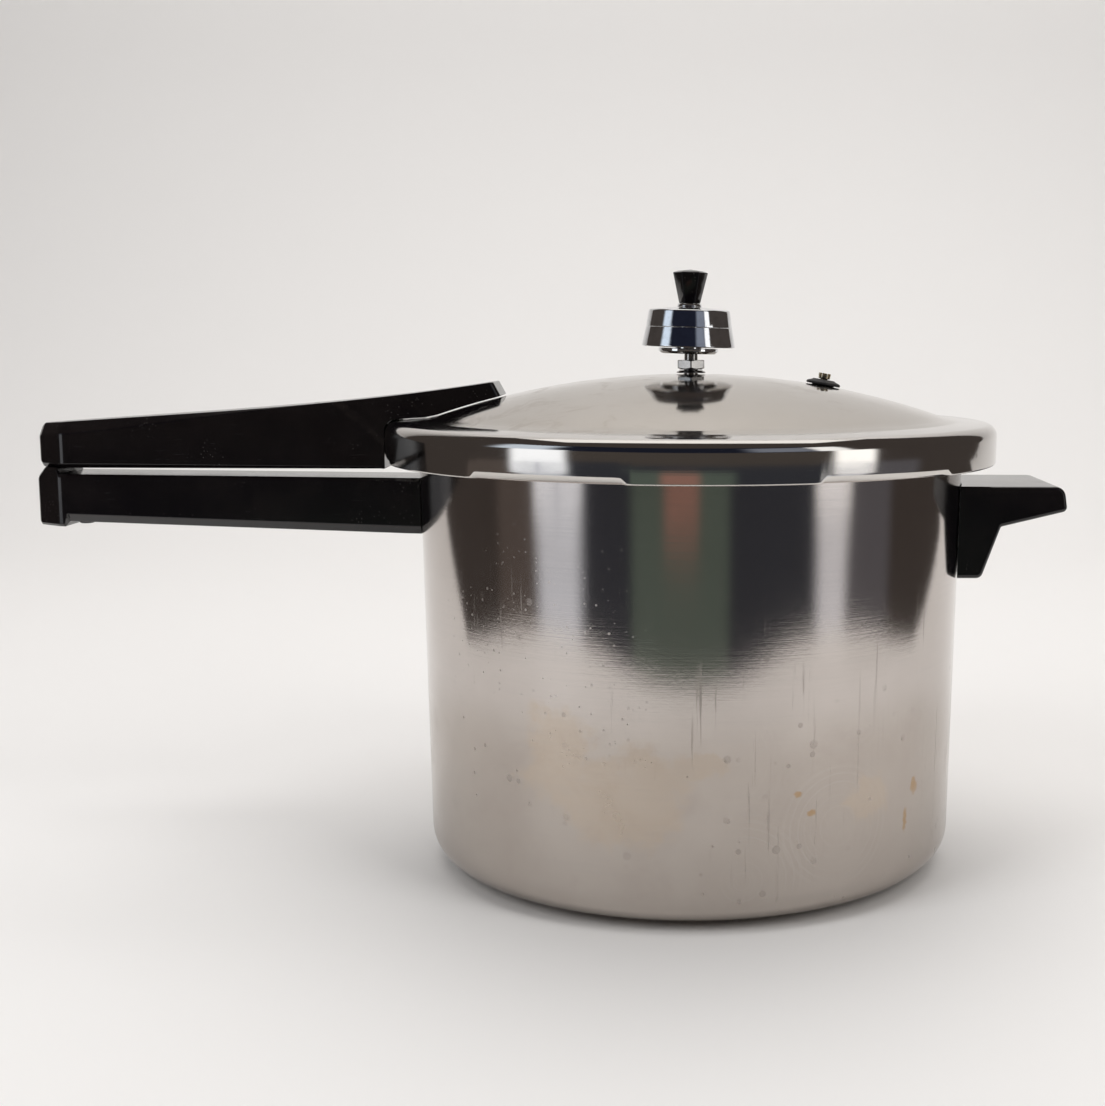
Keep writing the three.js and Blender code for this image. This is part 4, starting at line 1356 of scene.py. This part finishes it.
def glowing(name, color, strength):
    """An even glow that a point attribute fades to nothing."""
    material = bpy.data.materials.new(name)
    material.use_nodes = True
    tree = material.node_tree
    tree.nodes.clear()
    light = tree.nodes.new("ShaderNodeEmission")
    light.inputs["Color"].default_value = (*color, 1)
    light.inputs["Strength"].default_value = strength
    fade = tree.nodes.new("ShaderNodeAttribute")
    fade.attribute_name = "glow"
    mixed = tree.nodes.new("ShaderNodeMixShader")
    output = tree.nodes.new("ShaderNodeOutputMaterial")
    tree.links.new(fade.outputs["Fac"], mixed.inputs[0])
    tree.links.new(tree.nodes.new("ShaderNodeBsdfTransparent").outputs[0], mixed.inputs[1])
    tree.links.new(light.outputs[0], mixed.inputs[2])
    tree.links.new(mixed.outputs[0], output.inputs[0])
    return material


def sheet_object(name, corners, faces, material):
    mesh = bpy.data.meshes.new(name)
    mesh.from_pydata(corners, [], faces)
    mesh.materials.append(material)
    made = bpy.data.objects.new(name, mesh)
    bpy.context.scene.collection.objects.link(made)
    return made


def table_half(y, front, side, corner):
    """Half the width of the table, which has rounded front corners."""
    short = corner - (y - front)
    return side - corner + math.sqrt(corner ** 2 - short ** 2) if short > 0 else side


def make_sweep():
    """A pale table that widens and curves up into a backdrop behind the cooker. Reflections see the
    table only as far as its edges, and the camera sees a floor of the same colour beyond them."""
    front, side, corner = -0.40, 0.50, 0.3
    back, radius, top = 0.95, 0.65, 2.4
    far_left, far_right = -2.1, 1.65
    rows = []
    for i in range(11):
        y = front + corner * (1 - math.cos(math.radians(9 * i)))
        half = table_half(y, front, side, corner)
        rows.append((-half, half, y, 0.0))
    rows.append((-side, side, 0.06, 0.0))
    rows.append((-0.61, 0.56, 0.15, 0.0))
    rows.append((-1.03, 0.85, 0.55, 0.0))
    rows += [(far_left, far_right, back + y, radius + z) for y, z in arc(0, 0, radius, -90, 0, 24)]
    rows.append((far_left, far_right, back + radius, top))
    corners = [(x, y, z) for left, right, y, z in rows for x in (left, right)]
    faces = [(2 * i, 2 * i + 1, 2 * i + 3, 2 * i + 2) for i in range(len(rows) - 1)]
    sweep = sheet_object("sweep", corners, faces, plain_surface("backdrop", PALE))
    for polygon in sweep.data.polygons:
        polygon.use_smooth = True
    reach, level = 12.0, -0.0005
    corners = [(-reach, -reach, level), (reach, -reach, level),
               (reach, reach, level), (-reach, reach, level)]
    floor = sheet_object("floor", corners, [(0, 1, 2, 3)], plain_surface("studio_floor", PALE))
    floor.visible_glossy = False


def only_reflected(card):
    card.visible_camera = False
    card.visible_diffuse = False
    card.visible_shadow = False
    return card


def make_card(name, directions, heights, color, strength, soft=0.0, fade=0.0, distance=1.7):
    """A glowing card that only reflections see, between two directions from the cooker in degrees:
    0 is towards the front and 90 towards +X. It fades over `soft` degrees at both sides and over
    `fade` metres at its top and foot."""
    left, right = directions
    low, high = heights
    columns, rows = 24, 12
    corners, glow = [], []
    for i in range(columns + 1):
        degrees = lerp(left, right, i / columns)
        angle = math.radians(degrees)
        for j in range(rows + 1):
            z = lerp(low, high, j / rows)
            corners.append((distance * math.sin(angle), -distance * math.cos(angle), z))
            inside = smooth(min(degrees - left, right - degrees) / soft) if soft else 1.0
            level = smooth(min(z - low, high - z) / fade) if fade else 1.0
            glow.append(inside * level)
    tall = rows + 1
    faces = [(i * tall + j, (i + 1) * tall + j, (i + 1) * tall + j + 1, i * tall + j + 1)
             for i in range(columns) for j in range(rows)]
    card = sheet_object(name, corners, faces, glowing(name, color, strength))
    card.data.attributes.new("glow", "FLOAT", "POINT").data.foreach_set("value", glow)
    return only_reflected(card)


def make_softbox(name, place, target, size, power, color=(1, 1, 1)):
    """A soft area light that lights the cooker without showing in it."""
    data = bpy.data.lights.new(name, "AREA")
    data.shape = "RECTANGLE"
    data.size, data.size_y = size
    data.energy = power
    data.color = color
    light = bpy.data.objects.new(name, data)
    bpy.context.scene.collection.objects.link(light)
    light.location = place
    light.rotation_mode = "QUATERNION"
    light.rotation_quaternion = (Vector(target) - Vector(place)).to_track_quat("-Z", "Y")
    light.visible_glossy = False
    return light


def make_room():
    """What surrounds the stage: pale to the camera and a dim room to everything else."""
    world = bpy.data.worlds.new("room")
    bpy.context.scene.world = world
    world.use_nodes = True
    tree = world.node_tree
    tree.nodes.clear()
    paths = tree.nodes.new("ShaderNodeLightPath")
    output = tree.nodes.new("ShaderNodeOutputWorld")

    def background(color, strength):
        made = tree.nodes.new("ShaderNodeBackground")
        made.inputs["Color"].default_value = (*color, 1)
        made.inputs["Strength"].default_value = strength
        return made.outputs[0]

    def choose(condition, otherwise, chosen):
        made = tree.nodes.new("ShaderNodeMixShader")
        tree.links.new(paths.outputs[condition], made.inputs[0])
        tree.links.new(otherwise, made.inputs[1])
        tree.links.new(chosen, made.inputs[2])
        return made.outputs[0]

    dim = background((0.060, 0.050, 0.045), 1.0)
    pale = background((0.73, 0.71, 0.69), 1.0)
    tree.links.new(choose("Is Camera Ray", dim, pale), output.inputs[0])


def make_stage():
    make_sweep()
    make_room()
    low, middle, high = (-0.70, 0.02), (-0.17, 0.50), (0.45, 1.40)
    make_card("left_softbox", (-66, -41), middle, (0.93, 0.96, 1.0), 1.6, soft=4, fade=0.07)
    make_card("left_softbox_top", (-77, -45), high, (0.78, 0.88, 1.0), 1.0, soft=9)
    make_card("left_curtain", (-67, -40), low, (0.88, 0.92, 1.0), 0.85, soft=8)
    make_card("right_softbox", (48, 68), middle, (1.0, 0.99, 0.97), 1.7, soft=4, fade=0.07)
    make_card("right_softbox_top", (42, 59), high, (1.0, 1.0, 1.0), 1.35, soft=4)
    make_card("right_curtain", (48, 68), low, (0.94, 0.95, 1.0), 0.85, soft=7)
    make_card("grey_screen", (16, 48), high, (0.22, 0.24, 0.29), 1.0, soft=9, distance=1.75)
    make_card("left_shade", (-86, -60), low, (0.11, 0.09, 0.08), 1.0, soft=6, distance=1.75)
    make_card("right_shade", (62, 90), low, (0.115, 0.11, 0.12), 1.0, soft=6, distance=1.75)
    make_card("red_cloth", (-12, 5), (-0.24, -0.03), (0.32, 0.17, 0.135), 1.0, soft=4, fade=0.05)
    make_card("green_cloth", (-25, 17), (-0.70, -0.04), (0.10, 0.125, 0.105), 1.0, soft=4, distance=1.75)
    make_card("dark_room", (-48, 54), (-1.0, 0.02), (0.038, 0.040, 0.048), 1.0, distance=1.9)
    make_card("brown_room", (-48, 54), (0.02, 0.40), (0.075, 0.064, 0.056), 1.0, distance=1.9)
    make_card("navy_room", (-60, 48), (0.40, 1.80), (0.013, 0.015, 0.026), 1.0, distance=1.9)
    make_softbox("overhead", (0.1, 0.5, 2.2), (0.1, 0.5, 0), (2.5, 2.5), 43, (1.0, 0.985, 0.97))
    make_softbox("left_light", (-1.3, -1.1, 1.3), (0, 0, 0.1), (0.8, 1.4), 14, (0.97, 0.985, 1.0))
    make_softbox("right_light", (1.3, -1.1, 1.3), (0, 0, 0.1), (0.8, 1.4), 14, (1.0, 0.99, 0.975))
    level, half, near, far = 1.95, 0.9, -0.1, 1.2
    corners = [(-half, near, level), (half, near, level), (half, far, level), (-half, far, level)]
    top = sheet_object("ceiling_light", corners, [(0, 1, 2, 3)],
                       glowing("ceiling_light", (1.0, 0.98, 0.95), 1.3))
    top.data.attributes.new("glow", "FLOAT", "POINT").data.foreach_set("value", [1.0] * 4)
    only_reflected(top)


make_camera()
make_stage()
bpy.context.scene.view_settings.view_transform = "Standard"
